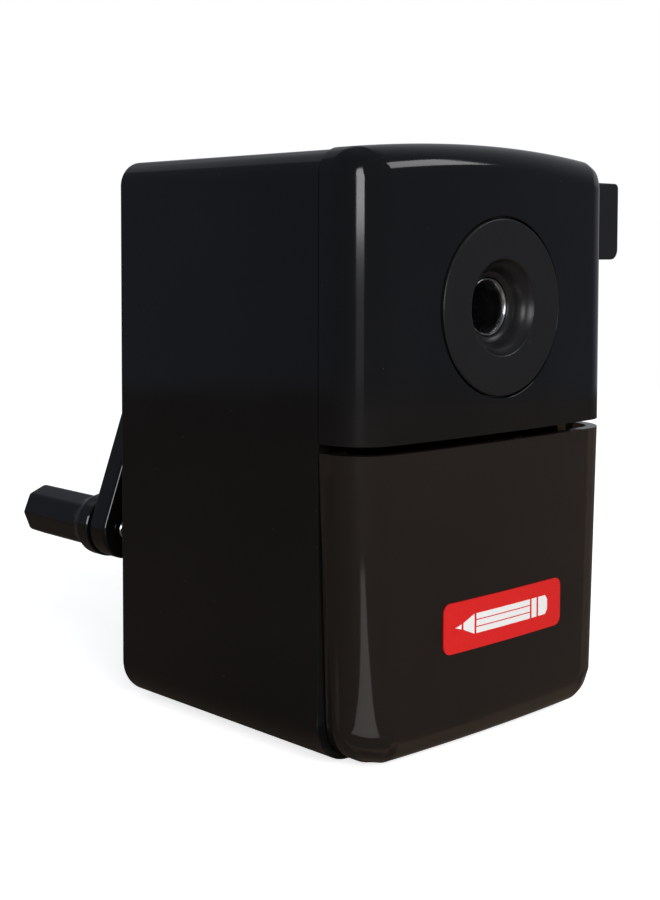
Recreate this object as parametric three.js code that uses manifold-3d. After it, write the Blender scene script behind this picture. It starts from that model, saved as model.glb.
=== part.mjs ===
// Hand-cranked desk pencil sharpener with a helical cutter, a pull-out shavings drawer and a
// point selector. Millimetres, +Z up. While it is built, x = 0 is the middle of the casing,
// y = 0 is the foremost line of the front cover and z = 0 is 100.5 below the crown of the roof. At
// the end everything moves so that the origin is the middle of the whole object's footprint, on
// the desk.
import * as THREE from 'three';
import * as BufferGeometryUtils from 'three/addons/utils/BufferGeometryUtils.js';
import Module from 'manifold-3d';

const wasm = await Module();
wasm.setup();

// ---- driving dimensions ----------------------------------------------------------------------
const BODY_WIDTH = 66.5;
const BODY_DEPTH = 64;
const BODY_HEIGHT = 100.5; // from z = 0 to the crown of the roof
const BODY_FLARE = 1; // the casing is this much wider on each side at its back
const SEAM_Y = 10.8; // where the front cover meets the rear casing
const WALL = 2.2;
const GAP = 0.3; // between pieces that touch or nearly touch
const RUNNING = 0.06; // radial clearance of a shaft in its bearing
const DESK_Z = -2.55;
const FOOT_DROP = 0.6; // how far the rubber feet lift the casing
const BASE_Z = DESK_Z + FOOT_DROP; // underside of the casing and of the drawer front
const ROUND = 24; // sides of a round piece

const TOP_CROWN = 1.7; // rise of the roof at its middle
const TOP_STEP = 0.3; // the cover stands this much above the casing
const TOP_CORNER = 4;
const BOTTOM_CORNER = 7;
const FRONT_BOW = 1.45; // the front face bows forward this much at its middle
const FRONT_CORNER = 7;
const FRONT_TOP_CORNER = 5.6;

const COVER_BOTTOM = 51.3;
const DRAWER_TOP = 49.8;
const DRAWER_DRAFT = 2.05; // the drawer is this much narrower on each side at its foot
const DRAWER_WALL = 2;
const BIN_HALF = 30.4; // half width of the bin behind the drawer front
const BIN_WALL = 1.6;
const BIN_BACK_Y = 57;
const BIN_BOTTOM = 0.8;
const BIN_TOP = 46;

const AXIS_Z = 72.75; // height of the pencil hole and of the crank shaft
const PENCIL_R = 4.35; // bore of the guide bush
const DISC_R = 15.2;

const CONE_ANGLE = THREE.MathUtils.degToRad(10); // half angle of a pencil's point
const CONE_APEX_Y = 44.3;
const CUTTER_R = 5.6;
const CUTTER_FRONT_Y = 22.6;
const CUTTER_BACK_Y = 44;
const ARBOR_R = 1.5;
const RING_TEETH = 30;
const PINION_TEETH = 10;
const GEAR_MODULE = 1;
const GEAR_Y = 19.83; // middle of the pinion
const PINION_WIDTH = 3.6;
const RING_FRONT_Y = 17.7;

const SHAFT_R = 3;
const ARM_FRONT_Y = 75.3;
const ARM_BACK_Y = 80.8;
const CRANK_OFFSET = new THREE.Vector2(-24.5, -45.85); // from the shaft to the knob, x and z
const ARM_HUB_R = 13.5;
const ARM_BOSS_R = 5.9;
const KNOB_R = 5.3;
const KNOB_BACK_Y = 106.3;

const TAB_REACH = 12; // how far the selector's thumb tab stands out of the casing
const TAB_TOP = 95.5;
const TAB_BOTTOM = 80.7;
const TAB_FRONT_Y = 8.9;
const TAB_BACK_Y = 10.5;
const SELECTOR_TRAVEL = 8;
const STOP_TRAVEL = 2.4; // how far the point stop moves over the selector's travel

const HALF = BODY_WIDTH / 2;
const CASING_TOP = BODY_HEIGHT - TOP_STEP;
const BACK_INNER_Y = BODY_DEPTH - WALL;

// ---- materials -------------------------------------------------------------------------------
function finish(color, roughness, metalness) {
  return () => new THREE.MeshStandardMaterial({ color, roughness, metalness });
}
const blackPlastic = finish(0x0b0b0c, 0.18, 0);
const satinPlastic = finish(0x101011, 0.35, 0);
const smokedPlastic = finish(0x1c1310, 0.12, 0);
const innerPlastic = finish(0x3a3b3d, 0.5, 0);
const steel = finish(0xb9bbbd, 0.28, 1);
const darkSteel = finish(0x6d6f73, 0.35, 1);
const dieCast = finish(0x9a9c9f, 0.45, 1);
const brass = finish(0xb08a4a, 0.35, 1);
const rubber = finish(0x1a1a1a, 0.85, 0);
const redLabel = finish(0xc01818, 0.4, 0);

// ---- turning geometry into solids and back -----------------------------------------------------
function solid(geometry) {
  const bare = geometry.clone();
  bare.deleteAttribute('normal');
  bare.deleteAttribute('uv');
  const merged = BufferGeometryUtils.mergeVertices(bare, 1e-4);
  const vertices = merged.attributes.position.array;
  const point = (i) => new THREE.Vector3().fromArray(vertices, 3 * i);
  const triangles = [];
  let volume = 0;
  for (let i = 0; i < merged.index.count; i += 3) {
    const [a, b, c] = [0, 1, 2].map((k) => merged.index.getX(i + k));
    if (a === b || b === c || c === a) continue;
    triangles.push(a, b, c);
    volume += point(a).dot(point(b).cross(point(c)));
  }
  if (volume < 0) triangles.reverse();
  return new wasm.Manifold(new wasm.Mesh({
    numProp: 3,
    vertProperties: new Float32Array(vertices),
    triVerts: new Uint32Array(triangles),
  }));
}

function join(...pieces) {
  return pieces.reduce((whole, piece) => whole.add(piece));
}

function cut(whole, ...pieces) {
  return whole.subtract(join(...pieces));
}

const model = new THREE.Group();

function part(name, shape, material) {
  const { vertProperties, triVerts } = shape.getMesh();
  const geometry = new THREE.BufferGeometry();
  geometry.setAttribute('position', new THREE.BufferAttribute(vertProperties, 3));
  geometry.setIndex(new THREE.BufferAttribute(triVerts, 1));
  geometry.computeVertexNormals();
  const mesh = new THREE.Mesh(geometry, material());
  mesh.name = name;
  model.add(mesh);
  return mesh;
}

// ---- basic shapes ------------------------------------------------------------------------------
function box(x0, x1, y0, y1, z0, z1) {
  const geometry = new THREE.BoxGeometry(x1 - x0, y1 - y0, z1 - z0);
  return solid(geometry.translate((x0 + x1) / 2, (y0 + y1) / 2, (z0 + z1) / 2));
}

function pushed(shape, depth, curveSegments) {
  return new THREE.ExtrudeGeometry(shape, { depth, bevelEnabled: false, curveSegments });
}

function alongZ(shape, z0, z1, curveSegments = 6) {
  return solid(pushed(shape, z1 - z0, curveSegments).translate(0, 0, z0));
}

// A shape drawn in x and z, pushed along y.
function alongY(shape, y0, y1, curveSegments = 6) {
  const geometry = pushed(shape, y1 - y0, curveSegments);
  return solid(geometry.rotateX(Math.PI / 2).translate(0, y1, 0));
}

// The same, but spread sideways at y1 so that it widens from half to half + flare.
function alongYFlared(shape, y0, y1, half, flare) {
  const geometry = pushed(shape, y1 - y0, 6).rotateX(Math.PI / 2).translate(0, y1, 0);
  const position = geometry.attributes.position;
  for (let i = 0; i < position.count; i++) {
    const share = (position.getY(i) - y0) / (y1 - y0);
    position.setX(i, position.getX(i) * (1 + share * flare / half));
  }
  return solid(geometry);
}

// A shape drawn in y and z, pushed along x.
function alongX(shape, x0, x1, curveSegments = 6) {
  const turn = new THREE.Matrix4().set(0, 0, 1, 0, 1, 0, 0, 0, 0, 1, 0, 0, 0, 0, 0, 1);
  return solid(pushed(shape, x1 - x0, curveSegments).applyMatrix4(turn).translate(x0, 0, 0));
}

// A profile of [radius, y] points turned about a line along y through x and z.
function turned(profile, x = 0, z = AXIS_Z, sides = ROUND) {
  const points = profile.map(([radius, y]) => new THREE.Vector2(radius, y));
  return solid(new THREE.LatheGeometry(points, sides).translate(x, 0, z));
}

function rod(radius, y0, y1, x = 0, z = AXIS_Z, sides = ROUND) {
  return turned([[0, y0], [radius, y0], [radius, y1], [0, y1]], x, z, sides);
}

function tube(outer, inner, y0, y1, x = 0, z = AXIS_Z, sides = ROUND) {
  return turned([[inner, y0], [outer, y0], [outer, y1], [inner, y1], [inner, y0]], x, z, sides);
}

// The corner radius of a round hole with flat sides that a shaft of this radius turns in.
function bearing(radius, sides = ROUND) {
  return (radius + RUNNING) / Math.cos(Math.PI / sides);
}

// A polygon of [x, y, radius] corners, each rounded by its radius.
function rounded(corners) {
  const shape = new THREE.Shape();
  corners.forEach(([x, y, radius], i) => {
    const here = new THREE.Vector2(x, y);
    const [before, after] = [-1, 1].map((step) => {
      const [nx, ny] = corners[(i + step + corners.length) % corners.length];
      return new THREE.Vector2(nx, ny).sub(here).normalize();
    });
    const half = Math.acos(before.dot(after)) / 2;
    const reach = radius / Math.tan(half);
    const start = here.clone().addScaledVector(before, reach);
    const end = here.clone().addScaledVector(after, reach);
    if (i === 0) shape.moveTo(start.x, start.y);
    else shape.lineTo(start.x, start.y);
    if (radius === 0) return;
    const inward = before.clone().add(after).normalize();
    const centre = here.clone().addScaledVector(inward, radius / Math.sin(half));
    const [from, to] = [start, end].map((p) => p.clone().sub(centre).angle());
    shape.absarc(centre.x, centre.y, radius, from, to, before.cross(after) > 0);
  });
  shape.closePath();
  return shape;
}

// An outline whose far side, at v = peak, is a shallow arc that runs into round corners.
function bowed({ half, base, peak, bow, corner, baseCorner = 0 }) {
  const arcR = (half * half + bow * bow) / (2 * bow);
  const centreV = peak - arcR;
  const cornerX = half - corner;
  const cornerV = centreV + Math.sqrt((arcR - corner) ** 2 - cornerX ** 2);
  const lean = Math.atan2(cornerX, cornerV - centreV);
  const footX = half - baseCorner;
  const footV = base + baseCorner;
  const shape = new THREE.Shape();
  shape.moveTo(-footX, base);
  shape.lineTo(footX, base);
  if (baseCorner > 0) shape.absarc(footX, footV, baseCorner, -Math.PI / 2, 0, false);
  shape.lineTo(half, cornerV);
  shape.absarc(cornerX, cornerV, corner, 0, Math.PI / 2 - lean, false);
  shape.absarc(0, centreV, arcR, Math.PI / 2 - lean, Math.PI / 2 + lean, false);
  shape.absarc(-cornerX, cornerV, corner, Math.PI / 2 + lean, Math.PI, false);
  if (baseCorner > 0) shape.absarc(-footX, footV, baseCorner, Math.PI, Math.PI * 1.5, false);
  shape.closePath();
  return shape;
}

// The bowed front seen from above, from its foremost line back to backY.
function plan(inset, backY) {
  const outline = bowed({
    half: HALF - inset, base: -backY, peak: -inset, bow: FRONT_BOW, corner: FRONT_CORNER - inset,
  });
  return new THREE.Shape(outline.getPoints(6).map((p) => new THREE.Vector2(p.x, -p.y)));
}

// ---- casing ------------------------------------------------------------------------------------
const POSTS = [[-20, 93.2], [20, 93.2], [-27.2, 58.4], [27.2, 58.4]]; // screw posts, x and z
const POST_R = 3.2;
const SCREW_R = 1.4;
const SCREW_HEAD_R = 2.8;
const SCREW_SEAT_Y = 59;
const REAR_BOSS_R = 8;
const REAR_BOSS_Y = 68;
const SHAFT_BUSH_R = 4.6;
const LEDGE_TOP = 51.2;
const FRAME_SCREWS = [-28.2, 28.2];
const FRAME_SCREW_Y = 20;
const FORK_ROD = [20, 84.2]; // x and z
const FORK_ROD_R = 1.5;
const FEET = [[-20.5, 19], [20.5, 19], [-20.5, 57], [20.5, 57]];
const FOOT_R = 4;

function casingOutline(inset) {
  return bowed({
    half: HALF - inset, base: BASE_Z + inset, peak: CASING_TOP - inset, bow: TOP_CROWN,
    corner: TOP_CORNER - inset * 0.8, baseCorner: BOTTOM_CORNER - inset,
  });
}

function zRod(radius, x, y, z0, z1, sides = 24) {
  const geometry = new THREE.CylinderGeometry(radius, radius, z1 - z0, sides);
  return solid(geometry.rotateX(Math.PI / 2).translate(x, y, (z0 + z1) / 2));
}

function rearCasing() {
  const inside = HALF - WALL;
  let shell = alongYFlared(casingOutline(0), SEAM_Y, BODY_DEPTH, HALF, BODY_FLARE);
  shell = cut(shell, alongYFlared(casingOutline(WALL), SEAM_Y - 1, BACK_INNER_Y, inside, BODY_FLARE));
  const posts = POSTS.map(([x, z]) => join(
    rod(POST_R, SEAM_Y + 0.4, BODY_DEPTH - 1, x, z, 16),
    rod(POST_R + 1, SCREW_SEAT_Y - 2.5, BODY_DEPTH - 1, x, z, 16),
  ));
  const ledges = [-1, 1].map((side) => {
    const [x0, x1] = [side * (inside - 2.4), side * (inside + 1.4)].sort((a, b) => a - b);
    const [b0, b1] = [side * 25.6, side * (inside + 1)].sort((a, b) => a - b);
    return join(
      box(x0, x1, SEAM_Y + 2, BACK_INNER_Y + 0.5, LEDGE_TOP - 1.6, LEDGE_TOP),
      box(b0, b1, FRAME_SCREW_Y - 3, FRAME_SCREW_Y + 3, BIN_TOP + 0.7, LEDGE_TOP),
    );
  });
  const rodBoss = rod(FORK_ROD_R + 1.6, 55, BACK_INNER_Y + 0.5, ...FORK_ROD, 16);
  const rearBoss = rod(REAR_BOSS_R, BODY_DEPTH - 1, REAR_BOSS_Y);
  shell = join(shell, ...posts, ...ledges, rodBoss, rearBoss);
  return cut(
    shell,
    ...POSTS.map(([x, z]) => rod(SCREW_R + 0.35, SEAM_Y, BODY_DEPTH, x, z, 16)),
    ...POSTS.map(([x, z]) => rod(SCREW_HEAD_R + 0.4, SCREW_SEAT_Y, BODY_DEPTH + 1, x, z, 16)),
    ...FRAME_SCREWS.map((x) => zRod(1.35, x, FRAME_SCREW_Y, BIN_TOP + 1.2, LEDGE_TOP + 1, 12)),
    ...FEET.map(([x, y]) => zRod(FOOT_R + GAP, x, y, DESK_Z, BASE_Z + 0.7)),
    rod(FORK_ROD_R + 0.15, 54, BACK_INNER_Y - 0.4, ...FORK_ROD, 16),
    rod(SHAFT_BUSH_R + 0.12, 60, REAR_BOSS_Y + 1),
  );
}

// ---- front cover ---------------------------------------------------------------------------------
const DISC_RECESS = 1.2;
const SLEEVE_R = 9.4;

function coverBlock(inset, backY) {
  const across = bowed({
    half: HALF - inset, base: COVER_BOTTOM + inset * 0.9, peak: BODY_HEIGHT - inset, bow: TOP_CROWN,
    corner: TOP_CORNER - inset * 0.8,
  });
  const side = rounded([
    [inset, COVER_BOTTOM - 1, 0],
    [backY + 1, COVER_BOTTOM - 1, 0],
    [backY + 1, BODY_HEIGHT - inset, 0],
    [inset, BODY_HEIGHT - inset, FRONT_TOP_CORNER - inset],
  ]);
  return alongY(across, inset - 1, backY)
    .intersect(alongZ(plan(inset, backY + 1), COVER_BOTTOM - 1, BODY_HEIGHT + 1))
    .intersect(alongX(side, -HALF - 1, HALF + 1));
}

function frontCover() {
  let shell = cut(coverBlock(0, SEAM_Y - 0.15), coverBlock(WALL, SEAM_Y + 1));
  const bosses = POSTS.map(([x, z]) => rod(POST_R, WALL + 0.5, SEAM_Y - 0.4, x, z, 16));
  shell = join(shell, ...bosses).intersect(coverBlock(0, SEAM_Y - 0.15));
  const slotBottom = TAB_BOTTOM - SELECTOR_TRAVEL - 0.3;
  return cut(
    shell,
    ...POSTS.map(([x, z]) => rod(SCREW_R + 0.2, WALL + 2.6, SEAM_Y, x, z, 16)),
    rod(DISC_R + 0.3, -1, DISC_RECESS, 0, AXIS_Z, 36),
    rod(SLEEVE_R + GAP, -1, WALL + 3),
    box(HALF - WALL - 2, HALF + 1, TAB_FRONT_Y - 0.3, SEAM_Y + 1, slotBottom, TAB_TOP + 0.3),
  );
}

// ---- pencil guide --------------------------------------------------------------------------------
const BUSH_FRONT_Y = 3.6;
const BUSH_BACK_Y = 14;
const BUSH_R = 5;
const MOUTH_R = PENCIL_R + 0.35; // the bush is chamfered at its mouth
const DISC_SEAT_Y = DISC_RECESS - 0.25;
const SLEEVE_BACK_Y = 9;

// The face, the stepped recess in its middle and the sleeve behind it, which holds the bush.
function guideDisc() {
  return turned([
    [8.3, -0.05], [DISC_R - 0.3, -0.05], [DISC_R, 0.2], [DISC_R, DISC_SEAT_Y],
    [SLEEVE_R, DISC_SEAT_Y], [SLEEVE_R, SLEEVE_BACK_Y],
    [BUSH_R + 0.15, SLEEVE_BACK_Y], [BUSH_R + 0.15, BUSH_FRONT_Y - 0.1],
    [6, 3.2], [6.3, 1.4], [7.5, 1.1], [8.3, -0.05],
  ], 0, AXIS_Z, 36);
}

function guideBush() {
  const flangeR = 6.8;
  const flangeY = SLEEVE_BACK_Y + 0.2;
  return turned([
    [MOUTH_R, BUSH_FRONT_Y], [BUSH_R, BUSH_FRONT_Y + 0.1],
    [BUSH_R, flangeY], [flangeR, flangeY], [flangeR, flangeY + 1.4], [BUSH_R, flangeY + 1.4],
    [BUSH_R, BUSH_BACK_Y], [PENCIL_R, BUSH_BACK_Y], [PENCIL_R, BUSH_FRONT_Y + 0.5],
    [MOUTH_R, BUSH_FRONT_Y],
  ]);
}

// A regular polygon with a corner straight out along +x.
function polygon(sides, radius, x, z) {
  const corners = Array.from({ length: sides }, (_, i) => {
    const angle = (i * 2 * Math.PI) / sides;
    return new THREE.Vector2(x + radius * Math.cos(angle), z + radius * Math.sin(angle));
  });
  return new THREE.Shape(corners);
}

function sleeveNut() {
  const hexagon = polygon(6, 13, 0, AXIS_Z);
  return cut(alongY(hexagon, WALL + 1.1, WALL + 4), rod(SLEEVE_R + 0.2, 0, 12));
}

// ---- cutting head --------------------------------------------------------------------------------
// The cutter's axis lies in the plane x = 0 below the shaft and closes on it towards the back.
function cutterDrop(y) {
  return (CONE_APEX_Y - y) * Math.tan(CONE_ANGLE) + CUTTER_R / Math.cos(CONE_ANGLE);
}

// Takes a shape made about a line along y at the origin, with y measured from the middle of the
// pinion, and lays it on the cutter's inclined axis.
function onCutterAxis(geometry) {
  return solid(geometry.rotateX(CONE_ANGLE).translate(0, GEAR_Y, AXIS_Z - cutterDrop(GEAR_Y)));
}

function cutterRod(radius, y0, y1, sides = ROUND) {
  const along = (y) => (y - GEAR_Y) / Math.cos(CONE_ANGLE);
  const points = [[0, along(y0)], [radius, along(y0)], [radius, along(y1)], [0, along(y1)]];
  return onCutterAxis(new THREE.LatheGeometry(points.map((p) => new THREE.Vector2(...p)), sides));
}

// A gear's outline: teeth with straight flanks between a root and a tip circle.
function gearOutline(teeth, rootR, tipR, rootWidth, tipWidth, phase) {
  const points = [];
  for (let i = 0; i < teeth; i += 1) {
    const middle = phase + (i * 2 * Math.PI) / teeth;
    const tooth = [[rootR, -rootWidth], [tipR, -tipWidth], [tipR, tipWidth], [rootR, rootWidth]];
    for (const [radius, width] of tooth) {
      const angle = middle + width / 2 / radius;
      points.push(new THREE.Vector2(radius * Math.cos(angle), radius * Math.sin(angle)));
    }
  }
  return new THREE.Shape(points);
}

// The hole is an outward gear whose teeth are the spaces between the ring's own teeth.
function ringGear() {
  const pitch = (GEAR_MODULE * RING_TEETH) / 2;
  const space = gearOutline(RING_TEETH, pitch - 0.7, pitch + 1.5, 2.35, 1.5, -Math.PI / 2);
  const [y0, y1] = [RING_FRONT_Y, RING_FRONT_Y + 4.5];
  const hole = alongY(space, y0 - 1, y1 + 1).translate([0, 0, AXIS_Z]);
  return cut(rod(pitch + 3.7, y0, y1, 0, AXIS_Z, 36), hole);
}

function cutterPinion() {
  const pitch = (GEAR_MODULE * PINION_TEETH) / 2;
  const outline = gearOutline(PINION_TEETH, pitch - 1.35, pitch + 0.8, 1.6, 0.7, -Math.PI / 2);
  const geometry = pushed(outline, PINION_WIDTH, 1);
  const gear = onCutterAxis(geometry.rotateX(Math.PI / 2).translate(0, PINION_WIDTH / 2, 0));
  return cut(gear, cutterRod(bearing(ARBOR_R, 24), 14, 50, 24));
}

function helicalCutter() {
  const flutes = 8;
  const turn = THREE.MathUtils.degToRad(75);
  const length = (CUTTER_BACK_Y - CUTTER_FRONT_Y) / Math.cos(CONE_ANGLE);
  const outline = gearOutline(flutes, CUTTER_R - 1, CUTTER_R, 1.8, 0.6, 0);
  const geometry = new THREE.ExtrudeGeometry(outline, { depth: length, steps: 10, bevelEnabled: false });
  const position = geometry.attributes.position;
  const point = new THREE.Vector3();
  const axis = new THREE.Vector3(0, 0, 1);
  for (let i = 0; i < position.count; i += 1) {
    point.fromBufferAttribute(position, i);
    point.applyAxisAngle(axis, (turn * point.z) / length);
    position.setXYZ(i, point.x, point.y, point.z);
  }
  const start = (CUTTER_FRONT_Y - GEAR_Y) / Math.cos(CONE_ANGLE);
  const blank = onCutterAxis(geometry.rotateX(Math.PI / 2).translate(0, start + length, 0));
  return cut(blank, cutterRod(bearing(ARBOR_R, 24), 14, 50, 24));
}

const CARRIER_FRONT_Y = 14.5;
const FLANGE_R = 13;
const FLANGE_BACK_Y = 17.4;
const BARREL_R = 8.2;
const HUB_R = 9;
const HUB_FRONT_Y = 44;
const HUB_BACK_Y = 51.5;
const SHAFT_FRONT_Y = 52;
const NECK_R = 6;
const NECK_BACK_Y = 57.5;
const COLLAR_FRONT_Y = 48;
const COLLAR_BACK_Y = 51;
const BAR_HALF = 1.2;

function cutterCarrier() {
  const body = turned([
    [0, CARRIER_FRONT_Y], [FLANGE_R, CARRIER_FRONT_Y],
    [FLANGE_R, FLANGE_BACK_Y], [BARREL_R, FLANGE_BACK_Y + 0.8],
    [BARREL_R, HUB_FRONT_Y - 1], [HUB_R, HUB_FRONT_Y],
    [HUB_R, HUB_BACK_Y], [NECK_R, HUB_BACK_Y],
    [NECK_R, NECK_BACK_Y], [0, NECK_BACK_Y],
  ]);
  const shoulderY = 21; // where the bore for the pencil starts to narrow
  const tipY = shoulderY + (PENCIL_R - 0.8) / Math.tan(CONE_ANGLE);
  const pencil = turned([
    [0, CARRIER_FRONT_Y - 1], [PENCIL_R + 0.2, CARRIER_FRONT_Y - 1],
    [PENCIL_R + 0.2, shoulderY], [1, tipY], [0, tipY],
  ]);
  const stopChannel = box(-1.3, 1.3, 38, 48, AXIS_Z - 0.3, AXIS_Z + 2);
  const barSlot = box(-HUB_R - 1, HUB_R + 1, COLLAR_FRONT_Y - 0.3 - STOP_TRAVEL, COLLAR_BACK_Y,
    AXIS_Z - BAR_HALF - GAP, AXIS_Z + BAR_HALF + GAP);
  return cut(
    body,
    pencil,
    stopChannel,
    barSlot,
    cutterRod(CUTTER_R + 0.6, FLANGE_BACK_Y + 0.3, CUTTER_BACK_Y + 0.9, 24),
    cutterRod(ARBOR_R + 0.12, 15.2, 49.3, 16),
    rod(SHAFT_R + 0.12, SHAFT_FRONT_Y - 0.2, NECK_BACK_Y + 1),
  );
}

function stopCollar() {
  const lip = 0.7; // the two lips hold the fork's horseshoe between them
  const [innerR, grooveR, lipR] = [HUB_R + 0.2, 10.3, 12];
  const ring = turned([
    [innerR, COLLAR_FRONT_Y], [lipR, COLLAR_FRONT_Y],
    [lipR, COLLAR_FRONT_Y + lip], [grooveR, COLLAR_FRONT_Y + lip],
    [grooveR, COLLAR_BACK_Y - lip], [lipR, COLLAR_BACK_Y - lip],
    [lipR, COLLAR_BACK_Y], [innerR, COLLAR_BACK_Y], [innerR, COLLAR_FRONT_Y],
  ]);
  const bar = box(-HUB_R - 0.8, HUB_R + 0.8, COLLAR_FRONT_Y + 0.3, COLLAR_BACK_Y - 0.3,
    AXIS_Z - BAR_HALF, AXIS_Z + BAR_HALF);
  const finger = box(-0.9, 0.9, CONE_APEX_Y + 0.4, COLLAR_FRONT_Y + 0.6, AXIS_Z + 0.3, AXIS_Z + 1.2);
  return join(ring, bar, finger);
}

function shiftFork() {
  const middleY = (COLLAR_FRONT_Y + COLLAR_BACK_Y) / 2;
  const [rodX, rodZ] = FORK_ROD;
  const aim = Math.atan2(rodZ - AXIS_Z, rodX);
  const horseshoe = new THREE.Shape();
  horseshoe.absarc(0, AXIS_Z, 14, aim - Math.PI / 2, aim + Math.PI / 2, false);
  horseshoe.absarc(0, AXIS_Z, 10.7, aim + Math.PI / 2, aim - Math.PI / 2, true);
  horseshoe.closePath();
  const reach = Math.hypot(rodX, rodZ - AXIS_Z);
  const arm = new THREE.BoxGeometry(reach - 13, 1.1, 4).translate((reach + 13) / 2, 0, 0)
    .rotateY(-aim).translate(0, middleY, AXIS_Z);
  const pin = new THREE.CylinderGeometry(1.2, 1.2, 7.1, 16).rotateZ(Math.PI / 2)
    .translate(rodX + 5.55, middleY, rodZ);
  const sleeve = rod(FORK_ROD_R + 1.5, middleY - 4, middleY + 4.3, rodX, rodZ, 16);
  const claw = alongY(horseshoe, middleY - 0.55, middleY + 0.55, 12);
  const whole = join(claw, solid(arm), solid(pin), sleeve);
  return cut(whole, rod(bearing(FORK_ROD_R, 16), 20, 60, rodX, rodZ, 16));
}

// ---- mechanism frame -----------------------------------------------------------------------------
const FRAME_FRONT_Y = 14.6;
const FRAME_PLATE_Y = 17.3;
const DECK_Z = 51.5;
const DECK_TOP = 53.3;

function mechanismFrame() {
  const [plateHalf, shoulderZ, topHalf, topZ] = [23.5, 84, 12, 93.8];
  const plate = rounded([
    [-plateHalf, DECK_Z, 0], [plateHalf, DECK_Z, 0], [plateHalf, shoulderZ, 4],
    [topHalf, topZ, 4], [-topHalf, topZ, 4], [-plateHalf, shoulderZ, 4],
  ]);
  const rim = tube(21, 19, FRAME_FRONT_Y + 1, 21.6, 0, AXIS_Z, 36);
  const deck = box(-30.6, 30.6, FRAME_FRONT_Y, 60.5, DECK_Z, DECK_TOP);
  const whole = join(alongY(plate, FRAME_FRONT_Y, FRAME_PLATE_Y), rim, deck);
  return cut(
    whole,
    rod(bearing(FLANGE_R), FRAME_FRONT_Y - 1, FRAME_PLATE_Y + 0.5),
    box(-19, 19, 23, 54, DECK_Z - 1, DECK_TOP + 1),
    rod(FORK_ROD_R + 0.15, FRAME_FRONT_Y + 0.8, FRAME_PLATE_Y + 1, ...FORK_ROD, 16),
    ...FRAME_SCREWS.map((x) => zRod(1.5, x, FRAME_SCREW_Y, DECK_Z - 1, DECK_TOP + 1, 12)),
  );
}

// ---- point selector ------------------------------------------------------------------------------
const CAM_X0 = 27.5;
const CAM_X1 = 29.3;

function pointSelector() {
  const middleY = (COLLAR_FRONT_Y + COLLAR_BACK_Y) / 2;
  const plate = rounded([
    [TAB_FRONT_Y, TAB_BOTTOM, 0], [53, TAB_BOTTOM, 1.5], [53, TAB_TOP - 0.5, 1.5], [43, TAB_TOP - 0.5, 1.5],
    [38, 88, 2], [18, 88, 2], [13, TAB_TOP, 1], [TAB_FRONT_Y, TAB_TOP, 0],
  ]);
  const tabX = HALF + TAB_REACH;
  const tab = rounded([
    [CAM_X0, TAB_BOTTOM, 0], [tabX, TAB_BOTTOM, 2], [tabX, TAB_TOP, 1], [CAM_X0, TAB_TOP, 0],
  ]);
  const slot = new THREE.Shape();
  const lean = Math.atan2(STOP_TRAVEL, SELECTOR_TRAVEL);
  const slotR = 1.45;
  const low = new THREE.Vector2(middleY, FORK_ROD[1]);
  const high = low.clone().add(new THREE.Vector2(-STOP_TRAVEL, SELECTOR_TRAVEL));
  slot.absarc(high.x, high.y, slotR, lean, lean + Math.PI, false);
  slot.absarc(low.x, low.y, slotR, lean + Math.PI, lean + 2 * Math.PI, false);
  slot.closePath();
  const whole = join(alongX(plate, CAM_X0, CAM_X1), alongY(tab, TAB_FRONT_Y, TAB_BACK_Y));
  return cut(whole, alongX(slot, CAM_X0 - 1, CAM_X1 + 1));
}

// ---- shavings drawer -----------------------------------------------------------------------------
const DRAWER_BACK_Y = SEAM_Y - GAP;
const DRAWER_WEB = 2;

function drawerFront(inset, backY, topExtra) {
  const foot = HALF - DRAWER_DRAFT - inset;
  const across = rounded([
    [HALF - inset, DRAWER_TOP + topExtra, 0], [-HALF + inset, DRAWER_TOP + topExtra, 0],
    [-foot, BASE_Z + inset, BOTTOM_CORNER - inset], [foot, BASE_Z + inset, BOTTOM_CORNER - inset],
  ]);
  const above = alongZ(plan(inset, backY + 1), BASE_Z - 1, BODY_HEIGHT);
  return alongY(across, inset - 1, backY).intersect(above);
}

function binOutline(inset, top) {
  const half = BIN_HALF - inset;
  const bottom = BIN_BOTTOM + inset;
  const corner = BOTTOM_CORNER - WALL - inset;
  return rounded([[half, top, 0], [-half, top, 0], [-half, bottom, corner], [half, bottom, corner]]);
}

function shavingsDrawer() {
  const front = drawerFront(0, DRAWER_BACK_Y, 0);
  const bin = alongY(binOutline(0, BIN_TOP), DRAWER_BACK_Y - 1, BIN_BACK_Y, 5);
  const frontHollow = drawerFront(DRAWER_WALL, DRAWER_BACK_Y - DRAWER_WEB, 5);
  const hollowFront = DRAWER_BACK_Y - DRAWER_WEB - 1;
  const binHollow = alongY(binOutline(BIN_WALL, BODY_HEIGHT), hollowFront, BIN_BACK_Y - BIN_WALL, 5);
  return cut(join(front, bin), frontHollow, binHollow);
}

const LABEL_HALF = 15.6;
const LABEL_X = 0.9;
const LABEL_Z = 19.5;
const LABEL_HALF_HEIGHT = 4.3;
const LABEL_CORNER = 1.6;

// A thin skin that follows the bowed front.
function drawerLabel() {
  const outline = rounded([[-1, -1], [1, -1], [1, 1], [-1, 1]].map(([sx, sz]) => (
    [LABEL_X + sx * LABEL_HALF, LABEL_Z + sz * LABEL_HALF_HEIGHT, LABEL_CORNER])));
  const outside = alongZ(plan(-0.35, SEAM_Y), 0, BODY_HEIGHT);
  const inside = alongZ(plan(-0.05, SEAM_Y + 1), 0, BODY_HEIGHT);
  return alongY(outline, -2, 1.2).intersect(cut(outside, inside));
}

// ---- crank ---------------------------------------------------------------------------------------
const KNOB_X = CRANK_OFFSET.x;
const KNOB_Z = AXIS_Z + CRANK_OFFSET.y;
const SPINDLE_R = 2;

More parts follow.
